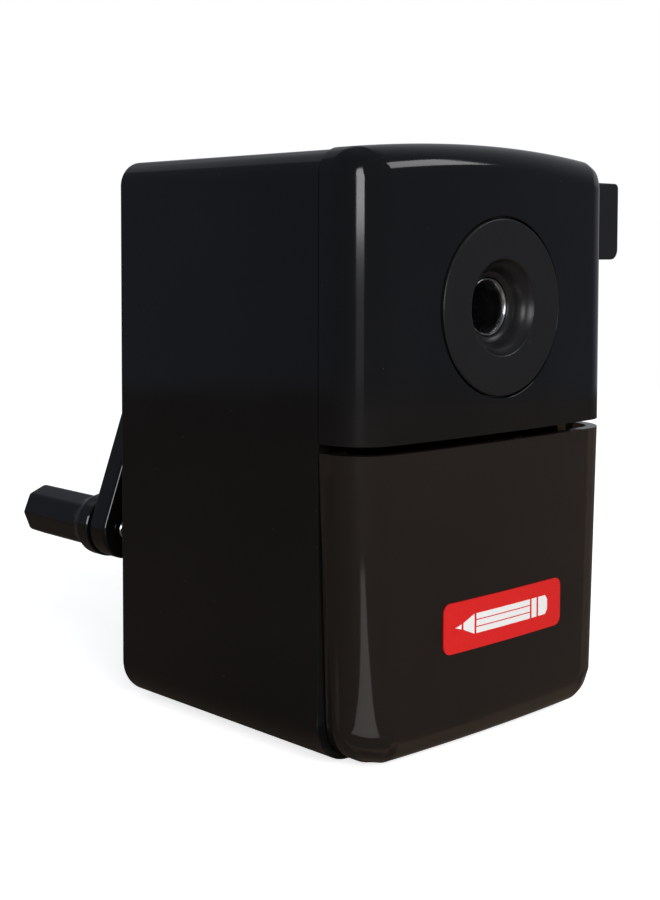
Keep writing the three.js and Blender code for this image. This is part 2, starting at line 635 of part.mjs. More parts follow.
function crankArm() {
  const length = CRANK_OFFSET.length();
  const aim = CRANK_OFFSET.angle();
  const swing = Math.acos((ARM_HUB_R - ARM_BOSS_R) / length);
  const outline = new THREE.Shape();
  outline.absarc(0, AXIS_Z, ARM_HUB_R, aim + swing, aim - swing + 2 * Math.PI, false);
  outline.absarc(KNOB_X, KNOB_Z, ARM_BOSS_R, aim - swing, aim + swing, false);
  outline.closePath();
  const hub = rod(7.5, REAR_BOSS_Y + 0.6, ARM_FRONT_Y + 1);
  const whole = join(alongY(outline, ARM_FRONT_Y, ARM_BACK_Y, 20), hub);
  return cut(
    whole,
    rod(SHAFT_R + 0.12, REAR_BOSS_Y, ARM_BACK_Y - 1.5),
    rod(1.8, ARM_FRONT_Y, ARM_BACK_Y + 1, 0, AXIS_Z, 16),
    rod(SPINDLE_R + 0.12, ARM_FRONT_Y - 1, ARM_BACK_Y + 1, KNOB_X, KNOB_Z, 24),
    rod(3.5, ARM_FRONT_Y - 1, ARM_FRONT_Y + 1.6, KNOB_X, KNOB_Z, 24),
  );
}

function crankShaft() {
  const stem = rod(SHAFT_R, SHAFT_FRONT_Y, ARM_BACK_Y - 1.7);
  return cut(stem, rod(1.7, ARM_BACK_Y - 12, ARM_BACK_Y, 0, AXIS_Z, 16));
}

// Its collar bears on the inside of the casing's back wall.
function shaftBush() {
  const [boreR, collarR] = [bearing(SHAFT_R), 6.2];
  const [y0, y1, y2] = [59.8, BACK_INNER_Y - 0.2, REAR_BOSS_Y - 0.2];
  return turned([
    [boreR, y0], [collarR, y0], [collarR, y1], [SHAFT_BUSH_R, y1], [SHAFT_BUSH_R, y2],
    [boreR, y2], [boreR, y0],
  ]);
}

function crankScrew() {
  const [threadR, headR, headY] = [1.5, 3.2, ARM_BACK_Y + 0.9];
  return turned([
    [0, ARM_BACK_Y - 9.5], [threadR, ARM_BACK_Y - 9.5], [threadR, headY],
    [headR, headY], [headR, headY + 1], [headR - 1, headY + 1.8], [0, headY + 1.8],
  ], 0, AXIS_Z, 16);
}

function knobSpindle() {
  const [seatR, seatY] = [3.2, ARM_FRONT_Y + 0.2];
  const [headR, headY] = [3, KNOB_BACK_Y - 4.2];
  return turned([
    [0, seatY], [seatR, seatY], [seatR, seatY + 1.2], [SPINDLE_R, seatY + 1.2],
    [SPINDLE_R, headY], [headR, headY], [headR, headY + 1.2], [0, headY + 1.2],
  ], KNOB_X, KNOB_Z, 24);
}

function crankKnob() {
  const octagon = polygon(8, KNOB_R, KNOB_X, KNOB_Z);
  const startY = ARM_BACK_Y + 0.3;
  const [collarR, collarBackY] = [6.2, startY + 7.2];
  const collar = turned([
    [0, startY], [collarR, startY], [collarR, startY + 3.4], [4.9, collarBackY], [0, collarBackY],
  ], KNOB_X, KNOB_Z);
  const whole = join(collar, alongY(octagon, startY + 2, KNOB_BACK_Y));
  return cut(
    whole,
    rod(bearing(SPINDLE_R, 24), startY - 1, KNOB_BACK_Y, KNOB_X, KNOB_Z, 24),
    rod(3.5, KNOB_BACK_Y - 4.5, KNOB_BACK_Y + 1, KNOB_X, KNOB_Z, 24),
  );
}

// ---- every piece -----------------------------------------------------------------------------------
part('rear_casing', rearCasing(), blackPlastic);
part('front_cover', frontCover(), blackPlastic);
part('guide_disc', guideDisc(), satinPlastic);
part('guide_bush', guideBush(), steel);
part('guide_sleeve_nut', sleeveNut(), innerPlastic);
part('mechanism_frame', mechanismFrame(), innerPlastic);
part('ring_gear', ringGear(), dieCast);
part('fork_rod', rod(FORK_ROD_R, FRAME_FRONT_Y + 1, BACK_INNER_Y - 0.6, ...FORK_ROD, 16), steel);
part('shaft_bush', shaftBush(), brass);
POSTS.forEach(([x, z], i) => {
  const screw = join(rod(SCREW_R, WALL + 3, SCREW_SEAT_Y + 1, x, z, 12),
    rod(SCREW_HEAD_R, SCREW_SEAT_Y + 0.15, SCREW_SEAT_Y + 2.2, x, z, 16));
  part(`casing_screw_${i + 1}`, screw, darkSteel);
});
FRAME_SCREWS.forEach((x, i) => {
  const screw = join(zRod(1.1, x, FRAME_SCREW_Y, BIN_TOP + 1.6, DECK_TOP + 1, 12),
    zRod(2.3, x, FRAME_SCREW_Y, DECK_TOP + 0.15, DECK_TOP + 1.7, 16));
  part(`frame_screw_${i + 1}`, screw, darkSteel);
});
FEET.forEach(([x, y], i) => part(`rubber_foot_${i + 1}`, zRod(FOOT_R, x, y, DESK_Z, BASE_Z + 0.55), rubber));
part('point_selector', pointSelector(), satinPlastic);
part('shift_fork', shiftFork(), innerPlastic);
part('stop_collar', stopCollar(), dieCast);
part('cutter_carrier', cutterCarrier(), dieCast);
part('cutter_arbor', cutterRod(ARBOR_R, 15.4, 49, 24), steel);
part('helical_cutter', helicalCutter(), steel);
part('cutter_pinion', cutterPinion(), steel);
part('crank_shaft', crankShaft(), steel);
part('crank_arm', crankArm(), blackPlastic);
part('crank_washer', tube(4.4, 1.75, ARM_BACK_Y + 0.15, ARM_BACK_Y + 0.75, 0, AXIS_Z, 24), steel);
part('crank_screw', crankScrew(), darkSteel);
part('knob_spindle', knobSpindle(), steel);
part('crank_knob', crankKnob(), blackPlastic);
part('knob_cap', rod(3.4, KNOB_BACK_Y - 2.7, KNOB_BACK_Y - 0.1, KNOB_X, KNOB_Z, 24), blackPlastic);
part('shavings_drawer', shavingsDrawer(), smokedPlastic);
part('drawer_label', drawerLabel(), redLabel);

const footprint = new THREE.Box3().setFromObject(model);
const middle = footprint.getCenter(new THREE.Vector3());
model.position.set(-middle.x, -middle.y, -footprint.min.z);

export default model;
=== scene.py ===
# %% [markdown]
# # A hand-cranked desk pencil sharpener
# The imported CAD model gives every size, place and joint. This lesson builds the finish round it:
# smooth shells with rounded edges, a smoked drawer that light really passes through, turned
# steel, moulded plastic grain, and a small studio to look at them in. It works in millimetres
# in the maker's own frame, where x = 0 is the middle of the casing, y = 0 is the foremost line
# of the front cover and z = 0 is 100.5 mm below the crown of its roof. One matrix then takes each
# finished mesh to metres.

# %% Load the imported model
import math

import bmesh
import bpy
from mathutils import Matrix, Vector


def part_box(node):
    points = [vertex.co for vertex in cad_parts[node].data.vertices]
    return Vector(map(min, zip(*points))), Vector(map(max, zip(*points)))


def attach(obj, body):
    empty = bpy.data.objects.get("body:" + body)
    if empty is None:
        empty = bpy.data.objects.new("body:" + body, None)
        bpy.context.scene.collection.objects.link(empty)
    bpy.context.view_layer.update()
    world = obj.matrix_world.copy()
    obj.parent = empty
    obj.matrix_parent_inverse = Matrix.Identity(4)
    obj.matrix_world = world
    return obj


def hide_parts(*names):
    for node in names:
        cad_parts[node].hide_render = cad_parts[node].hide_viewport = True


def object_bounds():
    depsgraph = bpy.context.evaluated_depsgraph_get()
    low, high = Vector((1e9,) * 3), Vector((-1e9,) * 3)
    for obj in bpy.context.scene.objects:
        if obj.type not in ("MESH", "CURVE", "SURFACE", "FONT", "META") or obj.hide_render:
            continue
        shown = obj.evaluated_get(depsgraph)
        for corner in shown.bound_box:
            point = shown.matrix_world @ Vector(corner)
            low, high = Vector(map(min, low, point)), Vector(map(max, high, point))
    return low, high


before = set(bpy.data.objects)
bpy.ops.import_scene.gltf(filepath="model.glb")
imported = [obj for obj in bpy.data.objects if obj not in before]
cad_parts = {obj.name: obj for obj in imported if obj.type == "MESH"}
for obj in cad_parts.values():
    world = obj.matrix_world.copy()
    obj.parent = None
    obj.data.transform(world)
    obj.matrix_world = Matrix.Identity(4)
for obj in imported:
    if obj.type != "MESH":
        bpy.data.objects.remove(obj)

cad_low, cad_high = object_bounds()
casing_low, casing_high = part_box("rear_casing")
cover_low, cover_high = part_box("front_cover")
MM = 0.001
MIDDLE_X = (casing_low.x + casing_high.x) / 2
CROWN_Z = 100.5  # height of the roof's crown in the maker's frame
ORIGIN = Vector((MIDDLE_X, cover_low.y, cover_high.z - CROWN_Z * MM))
PLACE = Matrix.Translation(ORIGIN) @ Matrix.Scale(MM, 4)
TO_MM = PLACE.inverted()
print("CAD box in mm:", [round(v / MM, 2) for v in (cad_high - cad_low)])


# %% [markdown]
# ## Places from the frame
# A CAD node's box says where its neighbours belong, so no position is guessed twice. The helper
# below gives a node's box in the maker's millimetres.

# %% Measure the nodes in millimetres
def box_mm(node):
    low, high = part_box(node)
    return TO_MM @ low, TO_MM @ high


def middle_of(node):
    low, high = box_mm(node)
    return (low + high) / 2


casing_a, casing_b = box_mm("rear_casing")
cover_a, cover_b = box_mm("front_cover")
drawer_b = box_mm("shavings_drawer")[1]
HALF = cover_b.x
FLARE = casing_b.x - HALF  # the casing is this much wider on each side at its back
SEAM_Y = casing_a.y
BASE_Z = casing_a.z
BOSS = 4.0  # how far the crank's bearing boss stands out of the back
AXIS = middle_of("guide_bush")
AXIS_Z = AXIS.z
WALL = 2.2  # of the cover and the casing
BACK_Y = casing_b.y - BOSS
print("axis height", round(AXIS_Z, 2), "half width", round(HALF, 2), "seam", round(SEAM_Y, 2))


# %% [markdown]
# ## The camera
# The sharpener is seen from its front left, a little above the middle of the body, so the side,
# the front and the crank behind it all show. The lens is raised a little in place of tilting the
# camera, which keeps the upright edges upright.

# %% Set up the camera
VIEW_AZIMUTH = math.radians(-43.33)
VIEW_ELEVATION = math.radians(3.09)
VIEW_ROLL = math.radians(0.155)
VIEW_DISTANCE = 217.3
VIEW_TARGET = Vector((-40.79, 0, 71.03))

camera_data = bpy.data.cameras.new("camera")
camera_data.lens = 57.49
camera_data.sensor_width = 36
camera_data.shift_y = -0.1378
camera_data.clip_start = 0.01
camera = bpy.data.objects.new("camera", camera_data)
bpy.context.scene.collection.objects.link(camera)
backwards = Vector((
    math.sin(VIEW_AZIMUTH) * math.cos(VIEW_ELEVATION),
    -math.cos(VIEW_AZIMUTH) * math.cos(VIEW_ELEVATION),
    math.sin(VIEW_ELEVATION),
))
camera.matrix_world = (
    Matrix.Translation(PLACE @ (VIEW_TARGET + backwards * VIEW_DISTANCE))
    @ backwards.to_track_quat("Z", "Y").to_matrix().to_4x4()
    @ Matrix.Rotation(VIEW_ROLL, 4, "Z")
)
bpy.context.scene.camera = camera
print("camera at", [round(v, 4) for v in camera.matrix_world.translation])


# %% [markdown]
# ## Helpers for meshes
# Each piece starts as a block, a disc or a turned profile, and operators shape it. Some steps
# are easier with a modifier than with an operator: a bevel whose radius differs from edge to
# edge, and a cut of one solid by another. `run_modifier` runs one on a bmesh and gives the
# result back as a bmesh, so the two kinds of step can follow each other.

# %% Blocks, edges and modifiers on a bmesh
def block(x0, x1, y0, y1, z0, z1):
    bm = bmesh.new()
    bm.edges.layers.float.new("bevel_weight_edge")
    bmesh.ops.create_cube(bm, size=1)
    bmesh.ops.scale(bm, vec=(x1 - x0, y1 - y0, z1 - z0), verts=bm.verts)
    bmesh.ops.translate(bm, vec=((x0 + x1) / 2, (y0 + y1) / 2, (z0 + z1) / 2), verts=bm.verts)
    return bm


def edges_at(bm, **where):
    """The edges with both ends at these coordinates, such as x=5, z=0."""
    wanted = [("xyz".index(axis), value) for axis, value in where.items()]
    return [
        e for e in bm.edges
        if all(abs(v.co[axis] - value) < 0.01 for v in e.verts for axis, value in wanted)
    ]


def as_object(bm, name):
    mesh = bpy.data.meshes.new(name)
    bm.to_mesh(mesh)
    bm.free()
    made = bpy.data.objects.new(name, mesh)
    bpy.context.scene.collection.objects.link(made)
    return made


def throw_away(made):
    mesh = made.data
    bpy.data.objects.remove(made)
    bpy.data.meshes.remove(mesh)


def run_modifier(bm, kind, **settings):
    work = as_object(bm, "work")
    modifier = work.modifiers.new(kind, kind)
    for key, value in settings.items():
        setattr(modifier, key, value)
    done = bmesh.new()
    done.from_object(work, bpy.context.evaluated_depsgraph_get())
    throw_away(work)
    return done


def combine(bm, tools, operation):
    for tool in tools:
        other = as_object(tool, "tool")
        bm = run_modifier(bm, "BOOLEAN", operation=operation, solver="EXACT", object=other)
        throw_away(other)
    return bm


def carve(bm, *tools):
    return combine(bm, tools, "DIFFERENCE")


def weld(bm, *tools):
    return combine(bm, tools, "UNION")


def round_edges(bm, radii, segments=10):
    """Rounds groups of edges, each by its own radius. radii is a list of (edges, radius)."""
    widest = max(radius for _, radius in radii)
    weight = bm.edges.layers.float["bevel_weight_edge"]
    for edges, radius in radii:
        for e in edges:
            e[weight] = radius / widest
    done = run_modifier(
        bm, "BEVEL", width=widest, segments=segments, limit_method="WEIGHT",
        offset_type="OFFSET", use_clamp_overlap=False,
    )
    bmesh.ops.remove_doubles(done, verts=done.verts, dist=0.001)
    return done


def soften(bm, radius, segments=3, angle=35):
    """Gives every sharp edge a small round, as a mould or a lathe leaves it."""
    sharp = [
        e for e in bm.edges
        if len(e.link_faces) == 2 and e.calc_face_angle(0) > math.radians(angle)
    ]
    bmesh.ops.bevel(
        bm, geom=sharp, offset=radius, offset_type="OFFSET", segments=segments, profile=0.5,
        affect="EDGES", clamp_overlap=True, material=-1,
    )
    return bm


# %% [markdown]
# Round pieces are turned: a half profile is spun about an axis, as on a lathe. The profile is a
# list of radius and place along the axis, and it may start and end on the axis or close on
# itself. A full spin needs its last step merged with its first.

# %% Turned pieces
def turned(profile, x=0.0, z=None, steps=64, closed=False):
    """Spins [radius, y] points about a line along y through x and z."""
    z = AXIS_Z if z is None else z
    bm = bmesh.new()
    points = [bm.verts.new((x + radius, y, z)) for radius, y in profile]
    for a, b in zip(points, points[1:]):
        bm.edges.new((a, b))
    if closed:
        bm.edges.new((points[-1], points[0]))
    bmesh.ops.spin(
        bm, geom=bm.verts[:] + bm.edges[:], cent=(x, 0, z), axis=(0, 1, 0),
        angle=2 * math.pi, steps=steps, use_merge=True, use_duplicate=False,
    )
    bmesh.ops.remove_doubles(bm, verts=bm.verts, dist=0.0005)
    bmesh.ops.recalc_face_normals(bm, faces=bm.faces)
    return bm


def rod(radius, y0, y1, x=0.0, z=None, steps=48):
    return turned([(0, y0), (radius, y0), (radius, y1), (0, y1)], x, z, steps)


def joined(*parts):
    """Several closed shells as one bmesh."""
    whole = bmesh.new()
    for part in parts:
        mesh = bpy.data.meshes.new("shell")
        part.to_mesh(mesh)
        part.free()
        whole.from_mesh(mesh)
        bpy.data.meshes.remove(mesh)
    return whole


# %% [markdown]
# A finished piece is moved to metres, shaded smooth with its true corners kept crisp, given its
# finish and hung on the body it rides on, and the CAD nodes it stands for are hidden. The weighted
# normals keep large faces flat right up to the small rounds beside them.

# %% Finish a piece
CRISP_ANGLE = math.radians(38)


def finish_piece(name, bm, body, material, replaces=()):
    bmesh.ops.transform(bm, matrix=PLACE, verts=bm.verts)
    made = as_object(bm, name)
    made.data.shade_smooth()
    made.data.set_sharp_from_angle(angle=CRISP_ANGLE)
    normals = made.modifiers.new("even_normals", "WEIGHTED_NORMAL")
    normals.keep_sharp = True
    normals.weight = 60
    made.data.materials.append(material)
    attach(made, body)
    if replaces:
        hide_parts(*replaces)
    print(f"{name}: {len(made.data.polygons)} faces, rides on {body}")
    return made


# %% [markdown]
# ## Surface effects
# Three effects come back in several finishes, so each is a node group built once: the slow
# waviness of a moulding, a fine even grain, and a thin veil of handling dust. Each reads Object
# coordinates, so the scale is real: these pieces are in metres, and a noise scale of 1000 has
# features of about a millimetre.

# %% Build node groups
def new_group(name, inputs, outputs):
    tree = bpy.data.node_groups.new(name, "ShaderNodeTree")
    for label, kind, value in inputs:
        socket = tree.interface.new_socket(label, in_out="INPUT", socket_type=kind)
        socket.default_value = value
    for label, kind in outputs:
        tree.interface.new_socket(label, in_out="OUTPUT", socket_type=kind)
    source = tree.nodes.new("NodeGroupInput")
    sink = tree.nodes.new("NodeGroupOutput")
    return tree, source, sink


def add(tree, kind, **settings):
    node = tree.nodes.new(kind)
    for key, value in settings.items():
        setattr(node, key, value)
    return node


def object_point(tree):
    return add(tree, "ShaderNodeTexCoord").outputs["Object"]


def noise(tree, scale, detail=2.0, roughness=0.5, point=None):
    """A noise whose scale is a number or a socket."""
    node = add(tree, "ShaderNodeTexNoise")
    node.inputs["Detail"].default_value = detail
    node.inputs["Roughness"].default_value = roughness
    if isinstance(scale, (int, float)):
        node.inputs["Scale"].default_value = scale
    else:
        tree.links.new(scale, node.inputs["Scale"])
    tree.links.new(point or object_point(tree), node.inputs["Vector"])
    return node.outputs["Fac"]


def mapped(tree, value, low, high, from_low=0.3, from_high=0.7):
    """Spreads a value between two limits, which are numbers or sockets."""
    node = add(tree, "ShaderNodeMapRange")
    node.inputs["From Min"].default_value = from_low
    node.inputs["From Max"].default_value = from_high
    tree.links.new(value, node.inputs["Value"])
    for label, limit in (("To Min", low), ("To Max", high)):
        if isinstance(limit, (int, float)):
            node.inputs[label].default_value = limit
        else:
            tree.links.new(limit, node.inputs[label])
    return node.outputs["Result"]


def maths(tree, operation, a, b):
    node = add(tree, "ShaderNodeMath", operation=operation)
    for i, value in enumerate((a, b)):
        if isinstance(value, (int, float)):
            node.inputs[i].default_value = value
        else:
            tree.links.new(value, node.inputs[i])
    return node.outputs["Value"]


def build_moulding_group():
    tree, source, sink = new_group(
        "moulding",
        [("Grain Scale", "NodeSocketFloat", 5000.0), ("Grain Depth", "NodeSocketFloat", 0.1),
         ("Wave Depth", "NodeSocketFloat", 1.0)],
        [("Height", "NodeSocketFloat"), ("Variation", "NodeSocketFloat")],
    )
    wave = noise(tree, 130.0, detail=1.0)
    grain = noise(tree, source.outputs["Grain Scale"], detail=3.0)
    deep = maths(tree, "MULTIPLY", wave, source.outputs["Wave Depth"])
    fine = maths(tree, "MULTIPLY", grain, source.outputs["Grain Depth"])
    tree.links.new(maths(tree, "ADD", deep, fine), sink.inputs["Height"])
    tree.links.new(noise(tree, 60.0, detail=4.0, roughness=0.6), sink.inputs["Variation"])
    return tree


def build_dust_group():
    tree, source, sink = new_group(
        "dust",
        [("Amount", "NodeSocketFloat", 0.02)],
        [("Mask", "NodeSocketFloat"), ("Smudge", "NodeSocketFloat")],
    )
    specks = add(tree, "ShaderNodeTexVoronoi", feature="F1")
    specks.inputs["Scale"].default_value = 420.0
    tree.links.new(object_point(tree), specks.inputs["Vector"])
    near = mapped(tree, specks.outputs["Distance"], 1.0, 0.0, 0.02, 0.075)
    chosen = mapped(tree, noise(tree, 900.0, detail=0.0), 0.0, 1.0, 0.6, 0.62)
    speck = maths(tree, "MULTIPLY", near, chosen)
    film = mapped(tree, noise(tree, 35.0, detail=6.0, roughness=0.65), 0.0, 1.0, 0.4, 0.8)
    veil = maths(tree, "MULTIPLY", film, source.outputs["Amount"])
    tree.links.new(maths(tree, "MAXIMUM", maths(tree, "MULTIPLY", speck, 0.12), veil),
                   sink.inputs["Mask"])
    tree.links.new(film, sink.inputs["Smudge"])
    return tree


def build_lathe_group():
    """Fine rings along y and round it, as a turning tool leaves them."""
    tree, source, sink = new_group(
        "lathe_marks",
        [("Pitch Scale", "NodeSocketFloat", 5000.0)],
        [("Height", "NodeSocketFloat"), ("Variation", "NodeSocketFloat")],
    )
    split = add(tree, "ShaderNodeSeparateXYZ")
    tree.links.new(object_point(tree), split.inputs["Vector"])
    along = maths(tree, "MULTIPLY", split.outputs["Y"], source.outputs["Pitch Scale"])
    rings = add(tree, "ShaderNodeTexNoise", noise_dimensions="1D")
    rings.inputs["Scale"].default_value = 1.0
    rings.inputs["Detail"].default_value = 3.0
    tree.links.new(along, rings.inputs["W"])
    tree.links.new(rings.outputs["Fac"], sink.inputs["Height"])
    tree.links.new(noise(tree, 700.0, detail=3.0), sink.inputs["Variation"])
    return tree


MOULDING = build_moulding_group()
DUST = build_dust_group()
LATHE = build_lathe_group()
print("node groups:", [g.name for g in bpy.data.node_groups])


# %% [markdown]
# ## Finishes
# A finish is a Principled shader fed by the effects. The colour is never one flat value: two
# close tones are mixed over the surface, and dust lightens them a little. Gloss black moulding
# is almost mirror smooth, satin moulding carries a fine spark-eroded grain.

# %% Helpers for finishes
def new_material(name):
    material = bpy.data.materials.new(name)
    material.use_nodes = True
    tree = material.node_tree
    shader = next(n for n in tree.nodes if n.type == "BSDF_PRINCIPLED")
    return material, tree, shader


def use_group(tree, group, **values):
    node = add(tree, "ShaderNodeGroup", node_tree=group)
    for label, value in values.items():
        node.inputs[label.replace("_", " ")].default_value = value
    return node


def two_tones(tree, mask, dark, light):
    node = add(tree, "ShaderNodeMix", data_type="RGBA")
    node.inputs["A"].default_value = (*dark, 1)
    node.inputs["B"].default_value = (*light, 1)
    tree.links.new(mask, node.inputs["Factor"])
    return node.outputs["Result"]


def tint(tree, mask, base, light):
    """Mixes a plain colour over a colour socket."""
    node = add(tree, "ShaderNodeMix", data_type="RGBA")
    tree.links.new(base, node.inputs["A"])
    node.inputs["B"].default_value = (*light, 1)
    tree.links.new(mask, node.inputs["Factor"])
    return node.outputs["Result"]


def bump(tree, shader, height, distance, strength=1.0):
    node = add(tree, "ShaderNodeBump")
    node.inputs["Distance"].default_value = distance
    node.inputs["Strength"].default_value = strength
    tree.links.new(height, node.inputs["Height"])
    tree.links.new(node.outputs["Normal"], shader.inputs["Normal"])


def moulded(name, dark, light, rough, grain_scale, grain_depth, wave, dust, depth):
    """A moulded plastic: rough is its lowest and highest roughness, depth the bump in metres."""
    material, tree, shader = new_material(name)
    mould = use_group(tree, MOULDING, Grain_Scale=grain_scale, Grain_Depth=grain_depth,
                      Wave_Depth=wave)
    veil = use_group(tree, DUST, Amount=dust)
    body = two_tones(tree, mould.outputs["Variation"], dark, light)
    colour = tint(tree, veil.outputs["Mask"], body, (0.35, 0.34, 0.32))
    tree.links.new(colour, shader.inputs["Base Color"])
    spread = mapped(tree, veil.outputs["Smudge"], rough[0], rough[1], 0.0, 1.0)
    tree.links.new(maths(tree, "ADD", spread, veil.outputs["Mask"]), shader.inputs["Roughness"])
    bump(tree, shader, mould.outputs["Height"], depth)
    shader.inputs["IOR"].default_value = 1.5
    return material


def metal(name, dark, light, rough, lathe_scale=None, grain=2500.0, depth=0.00001):
    material, tree, shader = new_material(name)
    if lathe_scale:
        marks = use_group(tree, LATHE, Pitch_Scale=lathe_scale)
    else:
        marks = use_group(tree, MOULDING, Grain_Scale=grain, Grain_Depth=1.0, Wave_Depth=0.3)
    colour = two_tones(tree, marks.outputs["Variation"], dark, light)
    tree.links.new(colour, shader.inputs["Base Color"])
    spread = mapped(tree, marks.outputs["Variation"], rough[0], rough[1])
    tree.links.new(spread, shader.inputs["Roughness"])
    shader.inputs["Metallic"].default_value = 1.0
    bump(tree, shader, marks.outputs["Height"], depth)
    return material


# %% Plastics and rubber
gloss_black = moulded("gloss_black", (0.0022, 0.0023, 0.0026), (0.0036, 0.0037, 0.004),
                      (0.075, 0.12), 6000.0, 0.004, 0.02, 0.004, 0.0005)
satin_black = moulded("satin_black", (0.006, 0.006, 0.0065), (0.009, 0.009, 0.0095),
                      (0.3, 0.36), 5200.0, 0.05, 0.01, 0.006, 0.0004)
grey_moulding = moulded("grey_moulding", (0.075, 0.077, 0.08), (0.1, 0.102, 0.105),
                        (0.42, 0.55), 3200.0, 0.12, 0.05, 0.03, 0.0003)
foot_rubber = moulded("foot_rubber", (0.012, 0.012, 0.012), (0.02, 0.02, 0.02),
                      (0.75, 0.88), 2600.0, 0.3, 0.05, 0.02, 0.0003)

# %% [markdown]
# The metals are told apart by their polish. Turned pins carry the rings that the lathe leaves,
# screws are plated and a little dull, and the die-cast gear and cutter cage are rough castings.

# %% Metals
bright_steel = metal("bright_steel", (0.52, 0.53, 0.54), (0.66, 0.665, 0.67), (0.16, 0.28),
                     lathe_scale=6500.0, depth=0.00002)
screw_steel = metal("screw_steel", (0.3, 0.31, 0.33), (0.42, 0.43, 0.44), (0.25, 0.4),
                    grain=3500.0, depth=0.00003)
die_cast = metal("die_cast", (0.36, 0.365, 0.37), (0.47, 0.475, 0.48), (0.36, 0.52),
                 grain=2200.0, depth=0.00012)
bush_brass = metal("bush_brass", (0.5, 0.35, 0.14), (0.62, 0.46, 0.22), (0.2, 0.32),
                   lathe_scale=5200.0, depth=0.00002)


# %% [markdown]
# The drawer is smoked styrene. Real light passes through its walls, so the shader transmits and
# its colour is the share of light that one wall lets through: about an eighth, slightly brown.
# Where two walls stand before a bright background the drawer glows faintly, and everywhere else
# it looks black. A small share of the light is scattered by the pigment instead of let through,
# which is what makes the front look brown rather than clear.

# %% Smoked plastic
def build_smoked_plastic():
    material, tree, shader = new_material("smoked_plastic")
    mould = use_group(tree, MOULDING, Grain_Scale=5000.0, Grain_Depth=0.003, Wave_Depth=0.02)
    veil = use_group(tree, DUST, Amount=0.004)
    colour = two_tones(tree, mould.outputs["Variation"], (0.115, 0.092, 0.076), (0.15, 0.12, 0.1))
    tree.links.new(colour, shader.inputs["Base Color"])
    spread = mapped(tree, veil.outputs["Smudge"], 0.05, 0.09, 0.0, 1.0)
    tree.links.new(spread, shader.inputs["Roughness"])
    shader.inputs["Transmission Weight"].default_value = 0.94
    shader.inputs["IOR"].default_value = 1.55
    bump(tree, shader, mould.outputs["Height"], 0.0005)
    return material


smoked_plastic = build_smoked_plastic()

# %% [markdown]
# The label is printed paper under a thin varnish. Its fibres give the ink two close tones and a
# faint unevenness.

# %% Printed label
def build_print(name, dark, light, rough):
    material, tree, shader = new_material(name)
    fibre = noise(tree, 2400.0, detail=5.0, roughness=0.7)
    colour = two_tones(tree, mapped(tree, fibre, 0.0, 1.0), dark, light)
    tree.links.new(colour, shader.inputs["Base Color"])
    tree.links.new(mapped(tree, fibre, rough[0], rough[1]), shader.inputs["Roughness"])
    bump(tree, shader, fibre, 0.00001)
    return material


label_red = build_print("label_red", (0.60, 0.012, 0.012), (0.70, 0.02, 0.018), (0.3, 0.42))
label_white = build_print("label_white", (0.78, 0.77, 0.75), (0.88, 0.87, 0.86), (0.35, 0.5))
print("finishes:", len(bpy.data.materials))


# %% [markdown]
# ## Rounded shells
# The front cover, the casing and the drawer front share one family of curves: a face that bows
# forward slightly, a roof that is crowned, and tight round corners between them. Each starts as
# a plain block whose edges are rounded while it is still flat, is hollowed and cut, and is
# sliced into narrow upright strips. Only then are its front and roof swollen, so that the holes
# cut in it follow the curve.

# %% Curves that the shells share
FRONT_CORNER = 7.0
FRONT_CORNER_X = HALF - FRONT_CORNER
FRONT_SWELL = 0.92  # from the start of the round corner to the middle of the front
TOP_CORNER = 4.0
TOP_CORNER_X = HALF - TOP_CORNER
TOP_SWELL = 1.44
TOP_FRONT = 5.6
BOTTOM_CORNER = 7.0
STRIP = 2.2


def faded(value, start, end):
    """1 up to start, 0 from end on."""
    return min(1.0, max(0.0, (end - value) / (end - start)))


def slice_upright(bm, step=STRIP):
    count = int(HALF / step)
    for i in range(-count, count + 1):
        everything = bm.verts[:] + bm.edges[:] + bm.faces[:]
        bmesh.ops.bisect_plane(
            bm, geom=everything, dist=0.0005, plane_co=(i * step, 0, 0), plane_no=(1, 0, 0),
        )
    return bm


def swell_front(bm):
    for v in bm.verts:
        bow = FRONT_SWELL * (1 - (v.co.x / FRONT_CORNER_X) ** 2)
        v.co.y -= bow * faded(v.co.y, FRONT_CORNER, SEAM_Y - 1.5)
    return bm


def swell_roof(bm, top):
    for v in bm.verts:
        crown = TOP_SWELL * (1 - (v.co.x / TOP_CORNER_X) ** 2)
        v.co.z += crown * (1 - faded(v.co.z, top - 11, top - 6.5))
    return bm


# %% [markdown]
# The front cover is a hollow cap. Three rounds of different radius meet at each of its upper
# front corners: the upright edge, the roof's front edge and the roof's side edge. A weighted
# bevel makes all three in one go and blends them where they meet. The recess for the guide disc
# has a softened lip, which is what draws the fine bright ring round the disc.

# %% Front cover
COVER_BOTTOM = cover_a.z
COVER_TOP = cover_b.z - TOP_SWELL
COVER_BACK = cover_b.y
DISC_R = 15.5
RECESS_Y = 1.2
LIP = 0.25
SLEEVE_R = 9.7
SELECTOR_TRAVEL = 8.0
SLOT_PLAY = 0.3


def cover_block(inset, back):
    half = HALF - inset
    front = FRONT_SWELL + inset
    top = COVER_TOP - inset
    bm = block(-half, half, front, back, COVER_BOTTOM + inset * 0.9, top)
    upright = edges_at(bm, x=-half, y=front) + edges_at(bm, x=half, y=front)
    sides = edges_at(bm, x=-half, z=top) + edges_at(bm, x=half, z=top)
    return round_edges(bm, [
        (upright, FRONT_CORNER - inset),
        (edges_at(bm, y=front, z=top), TOP_FRONT - inset),
        (sides, TOP_CORNER - inset * 0.8),
    ], segments=14)


def recess_tool():
    """A plug with a flared lip, for a hole that starts at the flat front."""
    front = FRONT_SWELL
    lip = [
        (DISC_R + LIP * (1 - math.sin(t)), front + LIP * (1 - math.cos(t)))
        for t in [math.radians(a) for a in (0, 30, 60, 90)]
    ]
    rim = [(DISC_R + LIP, front - 1)] + lip
    return turned([(0, front - 1)] + rim + [(DISC_R, front + RECESS_Y), (0, front + RECESS_Y)],
                  steps=96)


